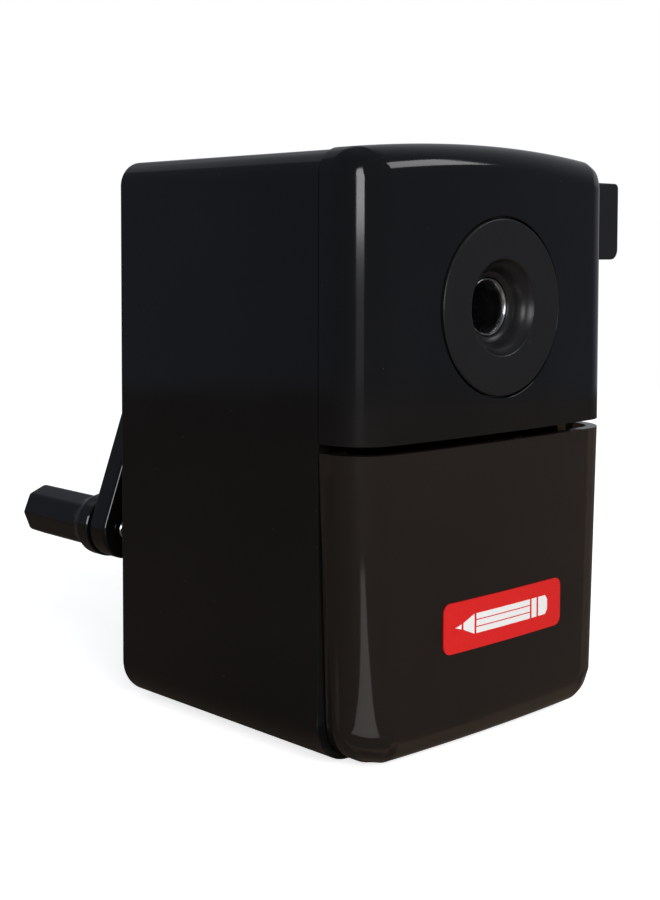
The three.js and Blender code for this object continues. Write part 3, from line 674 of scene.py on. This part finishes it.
def build_front_cover():
    shell = carve(cover_block(0, COVER_BACK), cover_block(WALL, SEAM_Y + 2))
    tab_a, tab_b = box_mm("point_selector")
    slot = block(HALF - WALL - 2, HALF + 1, tab_a.y - SLOT_PLAY, SEAM_Y + 1,
                 tab_a.z - SELECTOR_TRAVEL - SLOT_PLAY, tab_b.z + SLOT_PLAY)
    shell = carve(shell, recess_tool(), rod(SLEEVE_R, -1, 6, steps=64), slot)
    slice_upright(shell)
    swell_front(shell)
    swell_roof(shell, COVER_TOP)
    return finish_piece("cover_shell", shell, "casing", gloss_black,
                        ["front_cover"])


build_front_cover()


# %% [markdown]
# The rear casing is a long shell that is open to the front. Its back wall carries the bearing
# boss of the crank and four deep screw holes, which show from behind. The posts of those holes
# and the ledges under the mechanism are welded to it before the holes are cut.

# %% Rear casing
CASING_TOP = casing_b.z - TOP_SWELL
BACK_ROUND = 0.5
SEAM_ROUND = 0.18
POST_SCREWS = [middle_of(f"casing_screw_{i}") for i in (1, 2, 3, 4)]
HEAD_R = 3.2
SCREW_SEAT = box_mm("casing_screw_1")[1].y - 2.2
LEDGE_TOP = box_mm("mechanism_frame")[0].z - 0.3


def soften_end(bm, y, radius, segments=4):
    """Rounds the edges round the flat end of bm at y."""
    rim = [e for e in edges_at(bm, y=y) if e.calc_face_angle(0) > 1]
    bmesh.ops.bevel(bm, geom=rim, offset=radius, offset_type="OFFSET", segments=segments,
                    profile=0.5, affect="EDGES", material=-1)
    return bm


def casing_block(inset, front, back, front_round, back_round):
    """A long block with round lower and upper edges and soft ends, which flares to the back."""
    half = HALF - inset
    low, top = BASE_Z + inset, CASING_TOP - inset
    bm = block(-half, half, front, back, low, top)
    lower = edges_at(bm, x=-half, z=low) + edges_at(bm, x=half, z=low)
    upper = edges_at(bm, x=-half, z=top) + edges_at(bm, x=half, z=top)
    bm = round_edges(bm, [(lower, BOTTOM_CORNER - inset), (upper, TOP_CORNER - inset * 0.8)],
                     segments=14)
    soften_end(bm, back, back_round)
    soften_end(bm, front, front_round, 2)
    for v in bm.verts:
        v.co.x *= 1 + FLARE / HALF * (v.co.y - SEAM_Y) / (BACK_Y - SEAM_Y)
    return bm


def build_rear_casing():
    inner_back = BACK_Y - WALL
    shell = carve(casing_block(0, SEAM_Y, BACK_Y, SEAM_ROUND, BACK_ROUND),
                  casing_block(WALL, SEAM_Y - 3, inner_back, 0.3, 0.3))
    posts = [rod(HEAD_R + 1, 56.5, BACK_Y - 1, p.x, p.z, 32) for p in POST_SCREWS]
    thin = [rod(HEAD_R, SEAM_Y + 0.6, 57, p.x, p.z, 32) for p in POST_SCREWS]
    boss = turned([(0, BACK_Y - 1), (8.4, BACK_Y - 1), (8.4, BACK_Y + 0.02), (8.08, BACK_Y + 0.4),
                   (8.0, BACK_Y + BOSS - 0.4), (7.6, BACK_Y + BOSS), (0, BACK_Y + BOSS)])
    inside = HALF - WALL
    ledges = [block(min(side * (inside - 2.4), side * (inside + 1)),
                    max(side * (inside - 2.4), side * (inside + 1)),
                    SEAM_Y + 2, inner_back + 0.5, LEDGE_TOP - 1.6, LEDGE_TOP) for side in (-1, 1)]
    shell = weld(shell, *posts, *thin, boss, *ledges)
    holes = [rod(HEAD_R, SCREW_SEAT, BACK_Y + 1, p.x, p.z, 32) for p in POST_SCREWS]
    shell = carve(shell, *holes, rod(4.75, BACK_Y - 4, BACK_Y + BOSS + 1))
    slice_upright(shell)
    swell_roof(shell, CASING_TOP)
    return finish_piece("casing_shell", shell, "casing", gloss_black,
                        ["rear_casing"])


build_rear_casing()


# %% [markdown]
# The drawer front narrows towards its foot, so it is a block whose lower corners are drawn in
# before its edges are rounded. The front is hollow behind its 2 mm wall, and the bin runs back
# from it into the casing. All of it is one smoked moulding, so the two hollows are cut from one
# welded solid.

# %% Shavings drawer
DRAWER_TOP = drawer_b.z
DRAWER_DRAFT = 2.05
DRAWER_WALL = 2.0
DRAWER_BACK = SEAM_Y - 0.3
BIN_HALF, BIN_WALL, BIN_LOW, BIN_HIGH = 30.4, 1.6, 0.8, 46.0
BIN_CORNER = BOTTOM_CORNER - WALL
BIN_BACK = drawer_b.y
FOOT_ROUND = 6.0


def drawer_block(inset, back, top):
    half, foot_half = HALF - inset, HALF - DRAWER_DRAFT - inset
    front, low = FRONT_SWELL + inset, BASE_Z + inset
    bm = block(-half, half, front, back, low, top)
    for v in bm.verts:
        if v.co.z < low + 1:
            v.co.x = math.copysign(foot_half, v.co.x)
    upright = [e for e in bm.edges if all(abs(v.co.y - front) < 0.01 for v in e.verts)
               and abs(e.verts[0].co.z - e.verts[1].co.z) > 5]
    lower = edges_at(bm, x=-foot_half, z=low) + edges_at(bm, x=foot_half, z=low)
    return round_edges(bm, [
        (upright, FRONT_CORNER - inset), (lower, BOTTOM_CORNER - inset),
        (edges_at(bm, y=front, z=low), FOOT_ROUND - inset),
    ], segments=14)


def bin_block(inset, front, back, top):
    half, low = BIN_HALF - inset, BIN_LOW + inset
    bm = block(-half, half, front, back, low, top)
    lower = edges_at(bm, x=-half, z=low) + edges_at(bm, x=half, z=low)
    rear = edges_at(bm, y=back, z=low)
    rear += edges_at(bm, y=back, x=-half) + edges_at(bm, y=back, x=half)
    return round_edges(bm, [(lower, BIN_CORNER - inset), (rear, 2.4 - inset)], segments=6)


def build_drawer():
    shape = weld(drawer_block(0, DRAWER_BACK, DRAWER_TOP),
                 bin_block(0, DRAWER_BACK - 1, BIN_BACK, BIN_HIGH))
    shape = carve(
        shape,
        drawer_block(DRAWER_WALL, DRAWER_BACK - DRAWER_WALL, DRAWER_TOP + 5),
        bin_block(BIN_WALL, DRAWER_BACK - DRAWER_WALL - 1, BIN_BACK - BIN_WALL, DRAWER_TOP + 5),
    )
    slice_upright(shape)
    swell_front(shape)
    return finish_piece("drawer_moulding", shape, "drawer", smoked_plastic,
                        ["shavings_drawer"])


build_drawer()

# %% [markdown]
# ## The pencil guide
# The black disc round the pencil hole is one turned moulding, dished in the middle so that it
# leads the pencil to a steel bush. Its profile is a closed loop of radius and depth. Spinning it
# gives the whole disc, and a small bevel on the corners catches the light as a thin arc.

# %% Guide disc and bush
def arc(centre_r, centre_y, radius, start, end, steps=6):
    """Points of a profile along an arc, in degrees: 0 points outwards and 90 towards +y."""
    angles = [math.radians(start + (end - start) * i / steps) for i in range(steps + 1)]
    return [(centre_r + radius * math.cos(t), centre_y + radius * math.sin(t)) for t in angles]


disc_a, disc_b = box_mm("guide_disc")
DISC_FACE_R = disc_b.x
FACE_Y = disc_a.y
RIM_ROUND = 0.35
DISH_R = 8.6
DISH_ROUND = 0.5
DISC_BACK_Y = 0.95  # the disc's rear face, in the cover's recess
DISC_SLEEVE_R = 9.4
MOUTH_R = 5.15
BUSH_BORE_R = 4.35
BUSH_R = 5.0
FLANGE_R = 6.8
FLANGE_Y0, FLANGE_Y1 = 9.2, 10.6
FLANGE_EDGE = 0.1


def build_guide_disc():
    rim = arc(DISC_FACE_R - RIM_ROUND, FACE_Y + RIM_ROUND, RIM_ROUND, -90, 0)
    dish = arc(DISH_R, FACE_Y + DISH_ROUND, DISH_ROUND, -90, -165, 5)
    sleeve = [(DISC_FACE_R, DISC_BACK_Y), (DISC_SLEEVE_R, DISC_BACK_Y), (DISC_SLEEVE_R, disc_b.y)]
    mouth = [(MOUTH_R, disc_b.y), (MOUTH_R, 3.6), (5.45, 3.25), (6.1, 3.05)]
    cone = [(6.35, 2.6), (6.6, 1.6), (7.3, 1.0)]
    profile = dish[::-1] + rim + sleeve + mouth + cone
    disc = turned(profile, steps=128, closed=True)
    return finish_piece("guide_disc_moulding", disc, "casing", satin_black,
                        ["guide_disc"])


def build_guide_bush():
    bush_a, bush_b = box_mm("guide_bush")
    mouth = arc(4.85, bush_a.y + 0.16, 0.16, -90, 0, 4)
    face_r = FLANGE_R - FLANGE_EDGE
    flange = [
        (BUSH_R, FLANGE_Y0), (face_r, FLANGE_Y0), (FLANGE_R, FLANGE_Y0 + FLANGE_EDGE),
        (FLANGE_R, FLANGE_Y1 - FLANGE_EDGE), (face_r, FLANGE_Y1), (BUSH_R, FLANGE_Y1),
    ]
    bore = [(BUSH_R, bush_b.y), (BUSH_BORE_R, bush_b.y), (BUSH_BORE_R, bush_a.y + 1.1),
            (4.7, bush_a.y + 0.1)]
    profile = mouth + flange + bore
    bush = turned(profile, steps=96, closed=True)
    return finish_piece("guide_bush_turned", bush, "casing", bright_steel,
                        ["guide_bush"])


build_guide_disc()
build_guide_bush()


# %% [markdown]
# ## The point selector
# A thumb tab on the right side moves a flat cam plate inside the casing. The plate's slanted slot
# drives the shift fork, so its outline matters to the mechanism and a copy of the CAD mesh keeps
# it exactly: the loose triangles are merged and the flat ones joined. The tab is what shows, so
# it is made anew with the soft edges of a moulding.

# %% Selector tab and its cam plate
def copy_of(node):
    bm = bmesh.new()
    bm.from_mesh(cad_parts[node].data)
    bmesh.ops.transform(bm, matrix=TO_MM, verts=bm.verts)
    bmesh.ops.remove_doubles(bm, verts=bm.verts, dist=0.002)
    bmesh.ops.dissolve_limit(
        bm, angle_limit=math.radians(1.5), verts=bm.verts, edges=bm.edges,
        use_dissolve_boundaries=False,
    )
    return bm


TAB_THICKNESS = 1.6
TAB_LENGTH = 14.8
TAB_TOP_ROUND = 1.0
TAB_BOTTOM_ROUND = 2.0


def build_selector():
    """The cam plate is a copy; the thumb tab is rounded like the moulding it is."""
    tab_a, tab_b = box_mm("point_selector")
    plate_x = HALF - WALL - 2.0
    front, back = tab_a.y, tab_a.y + TAB_THICKNESS
    keep = block(0, plate_x, tab_a.y - 2, tab_b.y + 2, tab_a.z - 2, tab_b.z + 2)
    plate = combine(copy_of("point_selector"), [keep], "INTERSECT")
    low, high = tab_b.z - TAB_LENGTH, tab_b.z
    tab = block(plate_x - 1, tab_b.x, front, back, low, high)
    tab = round_edges(tab, [
        (edges_at(tab, x=tab_b.x, z=high), TAB_TOP_ROUND),
        (edges_at(tab, x=tab_b.x, z=low), TAB_BOTTOM_ROUND),
    ], segments=8)
    soften_end(tab, front, 0.3)
    soften_end(tab, back, 0.3)
    return finish_piece("selector_tab", joined(plate, tab), "selector", satin_black,
                        ["point_selector"])


build_selector()


# %% [markdown]
# ## The crank
# The arm's outline is what a belt round two discs would draw, so two circles are made and their
# convex hull is filled and pushed back by the arm's thickness. The knob is an eight-sided bar
# with soft edges on a round flared collar. The inner ends of the spindle and the screw are
# modelled too, because the crank turns and shows them.

# %% Crank arm
arm_a, arm_b = box_mm("crank_arm")
KNOB_AXIS = middle_of("crank_knob")
KNOB_X, KNOB_Z = KNOB_AXIS.x, KNOB_AXIS.z
ARM_THICKNESS = 5.5
ARM_BACK = arm_b.y
ARM_FRONT = ARM_BACK - ARM_THICKNESS
ARM_EDGE = 0.9
HUB_R = arm_b.x
BOSS_R = KNOB_Z - arm_a.z
SLEEVE_HUB_R = 7.5
SHAFT_BORE_R = 3.12
CRANK_SCREW_BORE_R = 1.8
SPINDLE_BORE_R = 2.12
SPINDLE_SEAT_R, SPINDLE_SEAT = 3.5, 1.6


def disc_outline(bm, radius, x, y, z, steps):
    made = bmesh.ops.create_circle(bm, segments=steps, radius=radius)["verts"]
    bmesh.ops.rotate(bm, verts=made, matrix=Matrix.Rotation(math.pi / 2, 3, "X"))
    bmesh.ops.translate(bm, verts=made, vec=(x, y, z))
    return made


def pushed_back(bm, depth):
    """Fills the one outline in bm and pushes it along y."""
    if not bm.faces:
        bmesh.ops.contextual_create(bm, geom=bm.verts[:] + bm.edges[:])
    out = bmesh.ops.extrude_face_region(bm, geom=bm.faces[:])["geom"]
    moved = [g for g in out if isinstance(g, bmesh.types.BMVert)]
    bmesh.ops.translate(bm, vec=(0, depth, 0), verts=moved)
    bmesh.ops.recalc_face_normals(bm, faces=bm.faces)
    return bm


def arm_outline():
    """Two discs, without the points inside the belt round them."""
    offset = Vector((KNOB_X, KNOB_Z - AXIS_Z))
    reach = offset.length
    swing = math.acos((HUB_R - BOSS_R) / reach)
    aim = math.atan2(offset.y, offset.x)
    bm = bmesh.new()
    for x, z, radius, start, end, count in (
        (0, AXIS_Z, HUB_R, aim + swing, aim - swing + 2 * math.pi, 72),
        (KNOB_X, KNOB_Z, BOSS_R, aim - swing, aim + swing, 40),
    ):
        for i in range(count + 1):
            t = start + (end - start) * i / count
            bm.verts.new((x + radius * math.cos(t), ARM_FRONT, z + radius * math.sin(t)))
    bm.faces.new(bm.verts[:])
    return bm


def build_crank_arm():
    arm = pushed_back(arm_outline(), ARM_BACK - ARM_FRONT)
    soften(arm, ARM_EDGE, segments=5, angle=60)
    hub = turned([(0, arm_a.y), (SLEEVE_HUB_R - 0.4, arm_a.y), (SLEEVE_HUB_R, arm_a.y + 0.4),
                  (SLEEVE_HUB_R, ARM_FRONT + 1), (0, ARM_FRONT + 1)])
    arm = weld(arm, hub)
    arm = carve(
        arm,
        rod(SHAFT_BORE_R, arm_a.y - 1, ARM_BACK - 1.5),
        rod(CRANK_SCREW_BORE_R, ARM_FRONT, ARM_BACK + 1, steps=32),
        rod(SPINDLE_BORE_R, ARM_FRONT - 1, ARM_BACK + 1, KNOB_X, KNOB_Z, 32),
        rod(SPINDLE_SEAT_R, ARM_FRONT - 1, ARM_FRONT + SPINDLE_SEAT, KNOB_X, KNOB_Z, 40),
    )
    return finish_piece("crank_arm_moulding", arm, "crank", gloss_black,
                        ["crank_arm"])


build_crank_arm()

# %% [markdown]
# The knob turns on a headed steel spindle, and a small cap closes its end. An eight-sided bar is
# an outline pushed back with its edges softened, and the flared collar at its root is turned.
# The two are welded before the spindle's bore and the cap's seat are cut.

# %% Knob, its cap and its spindle
KNOB_CORNER_R = 5.3
KNOB_EDGE = 0.5
KNOB_BORE_R = 2.06
CAP_SEAT_R, CAP_SEAT = 3.5, 4.5


def build_knob():
    knob_a, knob_b = box_mm("crank_knob")
    start, end = knob_a.y, knob_b.y
    bar = bmesh.new()
    disc_outline(bar, KNOB_CORNER_R, KNOB_X, start + 1.5, KNOB_Z, 8)
    pushed_back(bar, end - start - 1.5)
    soften(bar, KNOB_EDGE, segments=4, angle=30)
    collar = turned([(0, start), (6.0, start), (6.2, start + 0.2), (6.2, start + 3.0)]
                    + [(5.3 + 0.9 * math.cos(t), start + 3.0 + 1.4 * math.sin(t))
                       for t in [math.radians(a) for a in (20, 45, 70)]]
                    + [(4.9, start + 7.2), (0, start + 7.2)], KNOB_X, KNOB_Z, 64)
    knob = weld(bar, collar)
    knob = carve(knob, rod(KNOB_BORE_R, start - 1, end - 4, KNOB_X, KNOB_Z, 32),
                 rod(CAP_SEAT_R, end - CAP_SEAT, end + 1, KNOB_X, KNOB_Z, 48))
    return finish_piece("knob_grip", knob, "knob", gloss_black, ["crank_knob"])


def build_knob_cap():
    cap_a, cap_b = box_mm("knob_cap")
    cap = turned([(0, cap_a.y), (3.4, cap_a.y), (3.4, cap_b.y - 0.7), (3.25, cap_b.y - 0.35),
                  (2.7, cap_b.y - 0.12), (1.4, cap_b.y), (0, cap_b.y)], KNOB_X, KNOB_Z, 48)
    return finish_piece("knob_cap_moulding", cap, "knob", satin_black, ["knob_cap"])


def build_spindle():
    pin_a, pin_b = box_mm("knob_spindle")
    pin = turned([(0, pin_a.y), (1.8, pin_a.y), (2.0, pin_a.y + 0.2), (2.0, pin_b.y - 1.2),
                  (3.0, pin_b.y - 1.2), (3.0, pin_b.y - 0.3), (2.7, pin_b.y), (0, pin_b.y)],
                 KNOB_X, KNOB_Z, 40)
    return finish_piece("knob_spindle_turned", pin, "crank", bright_steel,
                        ["knob_spindle"])


build_knob()
build_knob_cap()
build_spindle()


# %% [markdown]
# ## Screws and washer
# A pan-head screw is a turned profile: a domed head with a thin thread behind it. The cross
# recess is cut with two crossed blades that narrow towards their tip.

# %% Screws and washer
def cross_tool(x, y, z, half, depth):
    """Two crossed tapered blades that point along -y from the head at y."""
    blades = []
    for turn in (0, math.pi / 2):
        blade = block(x - half, x + half, y - depth, y + 1, z - 0.34, z + 0.34)
        for v in blade.verts:
            if v.co.y < y:
                v.co.x = x + (v.co.x - x) * 0.45
        bmesh.ops.rotate(blade, verts=blade.verts, cent=(x, y, z),
                         matrix=Matrix.Rotation(turn, 3, "Y"))
        blades.append(blade)
    return blades


def build_screw(node, body, head_r, head_height, thread_r):
    low, high = box_mm(node)
    x, z = (low.x + high.x) / 2, (low.z + high.z) / 2
    seat = high.y - head_height
    dome = [(head_r * math.cos(t), seat + head_height * (0.45 + 0.55 * math.sin(t)))
            for t in [math.radians(a) for a in (0, 20, 40, 60, 78)]]
    body_mesh = turned([(0, low.y), (thread_r, low.y), (thread_r, seat), (head_r, seat)] + dome
                       + [(0, high.y)], x, z, 40)
    body_mesh = carve(body_mesh, *cross_tool(x, high.y, z, head_r * 0.62, head_height * 0.7))
    return finish_piece(f"{node}_turned", body_mesh, body, screw_steel, [node])


def build_washer():
    low, high = box_mm("crank_washer")
    ring = turned([(1.75, low.y), (4.3, low.y), (4.4, low.y + 0.1), (4.4, high.y - 0.1),
                   (4.3, high.y), (1.75, high.y)], steps=64, closed=True)
    return finish_piece("crank_washer_turned", ring, "crank", bright_steel,
                        ["crank_washer"])


for i in (1, 2, 3, 4):
    build_screw(f"casing_screw_{i}", "casing", 2.8, 2.05, 1.4)
build_screw("crank_screw", "crank", 3.2, 1.8, 1.5)
build_washer()


# %% [markdown]
# ## Feet and label
# Four small rubber discs lift the casing off the desk. The label on the drawer is a thin red
# sticker with round corners, bent over the bowed front. It carries a plain white drawing of a
# pencil, which is raised a few hundredths of a millimetre so that it is a shape of its own.

# %% Rubber feet
def build_foot(i):
    low, high = box_mm(f"rubber_foot_{i}")
    radius = (high.x - low.x) / 2
    foot = turned([(0, low.z), (radius - 0.3, low.z), (radius, low.z + 0.3), (radius, high.z),
                   (0, high.z)], 0, 0, 48)
    bmesh.ops.rotate(foot, verts=foot.verts, matrix=Matrix.Rotation(math.pi / 2, 3, "X"))
    bmesh.ops.translate(foot, verts=foot.verts,
                        vec=((low.x + high.x) / 2, (low.y + high.y) / 2, 0))
    return finish_piece(f"rubber_foot_{i}_moulded", foot, "casing", foot_rubber,
                        [f"rubber_foot_{i}"])


for i in (1, 2, 3, 4):
    build_foot(i)

# %% [markdown]
# The sticker and its print are thin flat plates at first. Both are cut into upright strips and
# bent by the same curve as the drawer front, so they lie on it everywhere.

# %% Drawer label
LABEL_PROUD = 0.31
LABEL_CORNER = 1.6
PRINT_PROUD = 0.35


def bent(bm, first_x, last_x, step=1.0):
    """Slices a thin flat plate into strips and bends it over the drawer front."""
    count = int((last_x - first_x) / step)
    for i in range(1, count + 1):
        everything = bm.verts[:] + bm.edges[:] + bm.faces[:]
        bmesh.ops.bisect_plane(
            bm, geom=everything, dist=0.0005, plane_co=(first_x + i * step, 0, 0),
            plane_no=(1, 0, 0),
        )
    return swell_front(bm)


def build_label():
    low, high = box_mm("drawer_label")
    x0, x1 = low.x + 0.01, high.x - 0.01
    plate = block(x0, x1, FRONT_SWELL - LABEL_PROUD, FRONT_SWELL - 0.06, low.z, high.z)
    corners = [e for x in (x0, x1) for z in (low.z, high.z) for e in edges_at(plate, x=x, z=z)]
    plate = round_edges(plate, [(corners, LABEL_CORNER)], segments=8)
    return finish_piece("drawer_label_sticker", bent(plate, x0, x1), "drawer",
                        label_red, ["drawer_label"])


def outline_plate(points, x, z):
    bm = bmesh.new()
    front = FRONT_SWELL - PRINT_PROUD
    bm.faces.new([bm.verts.new((x + px, front, z + pz)) for px, pz in points])
    return pushed_back(bm, PRINT_PROUD - LABEL_PROUD + 0.02)


def build_label_print():
    """A pencil that points left: tip, sharpened cone, body in three facets, ferrule and eraser."""
    low, high = box_mm("drawer_label")
    x, z = (low.x + high.x) / 2, (low.z + high.z) / 2
    half = 1.7
    facet = 0.5
    shapes = [
        [(-11.4, -0.42), (-12.9, 0), (-11.4, 0.42)],
        [(-8.2, -half), (-10.9, -0.58), (-10.9, 0.58), (-8.2, half)],
        [(-7.7, facet + 0.2), (-7.7, half), (6.6, half), (6.6, facet + 0.2)],
        [(-7.7, -facet), (-7.7, facet), (6.6, facet), (6.6, -facet)],
        [(-7.7, -half), (-7.7, -facet - 0.2), (6.6, -facet - 0.2), (6.6, -half)],
        [(7.1, -half), (7.1, half), (8.5, half), (8.5, -half)],
        [(9.0, -half), (9.0, half), (11.0, half), (11.6, 0.9), (11.6, -0.9), (11.0, -half)],
    ]
    plates = [outline_plate(points, x, z) for points in shapes]
    whole = bent(joined(*plates), low.x, high.x)
    return finish_piece("label_print", whole, "drawer", label_white)


build_label()
build_label_print()

# %% [markdown]
# ## Finishes of the inner pieces
# Bearings, gears, the frame and the cutter sit inside the casing. Their CAD shapes are exact, and
# each gets the finish of the metal or plastic it is made of.

# %% Finish the inner CAD pieces
CAD_FINISHES = {
    "guide_sleeve_nut": grey_moulding, "mechanism_frame": grey_moulding, "ring_gear": die_cast,
    "fork_rod": bright_steel, "shaft_bush": bush_brass, "shift_fork": grey_moulding,
    "stop_collar": die_cast, "cutter_carrier": die_cast, "cutter_arbor": bright_steel,
    "helical_cutter": bright_steel, "cutter_pinion": bright_steel, "crank_shaft": bright_steel,
    "frame_screw_1": screw_steel, "frame_screw_2": screw_steel,
}
for node, material in CAD_FINISHES.items():
    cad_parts[node].data.materials.clear()
    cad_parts[node].data.materials.append(material)
print("CAD pieces with a finish of their own:", len(CAD_FINISHES))


# %% [markdown]
# ## The studio
# Black gloss shows nothing but what it reflects, so the lights are the picture. A tall window
# beside the camera draws the bright line down the front corner, and its dim foot carries that
# line on. A lamp up on the right touches the roof's front edge, and a faint light above and
# behind gives the crank and the roof a sheen. The front fill is not mirrored: it lifts only what
# scatters light, which is the label, the drawer and the satin pieces.

# %% Lights
def direction(azimuth, elevation):
    """A direction from the object, in degrees: azimuth 0 is +x and 90 is +y."""
    a, e = math.radians(azimuth), math.radians(elevation)
    return Vector((math.cos(a) * math.cos(e), math.sin(a) * math.cos(e), math.sin(e)))


def panel(name, width, height, radiance):
    """A rectangular light of this size in metres, whose face is this bright."""
    data = bpy.data.lights.new(name, "AREA")
    data.shape = "RECTANGLE"
    data.size, data.size_y = width, height
    data.energy = radiance * math.pi * data.size * data.size_y
    light = bpy.data.objects.new(name, data)
    bpy.context.scene.collection.objects.link(light)
    return light


def softbox(name, azimuth, elevation, width, height, radiance, distance=1.5, mirrored=True):
    """A panel that looks width by height degrees across from the object."""
    wide = 2 * distance * math.tan(math.radians(width / 2))
    tall = 2 * distance * math.tan(math.radians(height / 2))
    light = panel(name, wide, tall, radiance)
    light.visible_glossy = mirrored
    aim = direction(azimuth, elevation)
    centre = (cad_low + cad_high) / 2
    turn = aim.to_track_quat("Z", "Y").to_matrix().to_4x4()
    light.matrix_world = Matrix.Translation(centre + aim * distance) @ turn


softbox("window", -139, 12.5, 19, 21, 6.2)
softbox("window_foot", -139, -1.5, 19, 7, 0.3)
softbox("lamp", -48, 37, 24, 13, 3.2)
softbox("back_light", 75, 44, 50, 20, 0.15)
softbox("front_fill", -105, 25, 50, 40, 4.6, mirrored=False)

# %% [markdown]
# The upright edge of the drawer mirrors the desk just before it. A small pale patch there, which
# looks upwards and which the camera does not see, draws the soft line down that edge.

# %% A pale patch on the desk
GLOW_AZIMUTH = -139
GLOW_LENGTH, GLOW_WIDTH = 0.11, 0.022
GLOW_REACH = 0.062  # from the drawer's corner to the middle of the patch
GLOW_HEIGHT = 0.0006
GLOW_RADIANCE = 0.65


def desk_glow():
    light = panel("desk_glow", GLOW_LENGTH, GLOW_WIDTH, GLOW_RADIANCE)
    light.visible_camera = False
    along = direction(GLOW_AZIMUTH, 0)
    corner = PLACE @ Vector((-HALF + 2, 2, 0))
    corner.z = GLOW_HEIGHT
    turn = Matrix.Rotation(math.atan2(along.y, along.x), 4, "Z")
    face_up = Matrix.Rotation(math.pi, 4, "X")
    light.matrix_world = Matrix.Translation(corner + along * GLOW_REACH) @ turn @ face_up


desk_glow()
print("lights:", [light.name for light in bpy.data.lights])

# %% [markdown]
# The room is dim and bluish in what the gloss mirrors, and a little paler behind the object. The
# camera itself sees white. The floor is treated the same way: pale to the camera, brown in
# reflections and in the light that it throws back, as a wooden desk is.

# %% The room and the floor
PALE_SIDE = direction(27, 16)
ROOM_DIM, ROOM_PALE = (0.115, 0.125, 0.15), (0.3, 0.31, 0.33)
DESK_DARK, DESK_LIGHT = (0.16, 0.125, 0.1), (0.2, 0.155, 0.12)
FLOOR_RADIUS = 0.62
FLOOR_LIFT = 0.72


def build_room():
    world = bpy.data.worlds.new("room")
    world.use_nodes = True
    tree = world.node_tree
    sky = next(n for n in tree.nodes if n.type == "BACKGROUND")
    output = next(n for n in tree.nodes if n.type == "OUTPUT_WORLD")
    point = add(tree, "ShaderNodeTexCoord").outputs["Generated"]
    glow = add(tree, "ShaderNodeVectorMath", operation="DOT_PRODUCT")
    glow.inputs[1].default_value = PALE_SIDE
    tree.links.new(point, glow.inputs[0])
    lobe = mapped(tree, glow.outputs["Value"], 0.0, 1.0, 0.62, 0.97)
    colour = two_tones(tree, lobe, ROOM_DIM, ROOM_PALE)
    tree.links.new(colour, sky.inputs["Color"])
    pale = add(tree, "ShaderNodeBackground")
    pale.inputs["Color"].default_value = (1, 1, 1, 1)
    seen = add(tree, "ShaderNodeLightPath").outputs["Is Camera Ray"]
    mix = add(tree, "ShaderNodeMixShader")
    tree.links.new(seen, mix.inputs["Fac"])
    tree.links.new(sky.outputs["Background"], mix.inputs[1])
    tree.links.new(pale.outputs["Background"], mix.inputs[2])
    tree.links.new(mix.outputs["Shader"], output.inputs["Surface"])
    bpy.context.scene.world = world


def build_floor():
    bm = bmesh.new()
    bmesh.ops.create_circle(bm, cap_ends=True, segments=96, radius=FLOOR_RADIUS)
    floor = as_object(bm, "floor")
    material, tree, shader = new_material("pale_floor")
    output = next(n for n in tree.nodes if n.type == "OUTPUT_MATERIAL")
    tone = mapped(tree, noise(tree, 9.0, detail=4.0), 0.0, 1.0)
    colour = two_tones(tree, tone, DESK_DARK, DESK_LIGHT)
    tree.links.new(colour, shader.inputs["Base Color"])
    shader.inputs["Roughness"].default_value = 0.8
    plain = add(tree, "ShaderNodeBsdfDiffuse")
    plain.inputs["Color"].default_value = (0.9, 0.9, 0.9, 1)
    lift = add(tree, "ShaderNodeEmission")
    lift.inputs["Strength"].default_value = FLOOR_LIFT
    both = add(tree, "ShaderNodeAddShader")
    tree.links.new(plain.outputs["BSDF"], both.inputs[0])
    tree.links.new(lift.outputs["Emission"], both.inputs[1])
    seen = add(tree, "ShaderNodeLightPath").outputs["Is Camera Ray"]
    mix = add(tree, "ShaderNodeMixShader")
    tree.links.new(seen, mix.inputs["Fac"])
    tree.links.new(shader.outputs["BSDF"], mix.inputs[1])
    tree.links.new(both.outputs["Shader"], mix.inputs[2])
    tree.links.new(mix.outputs["Shader"], output.inputs["Surface"])
    floor.data.materials.append(material)


build_room()
build_floor()
bpy.context.scene.view_settings.view_transform = "Standard"
print("floor radius in m:", FLOOR_RADIUS)
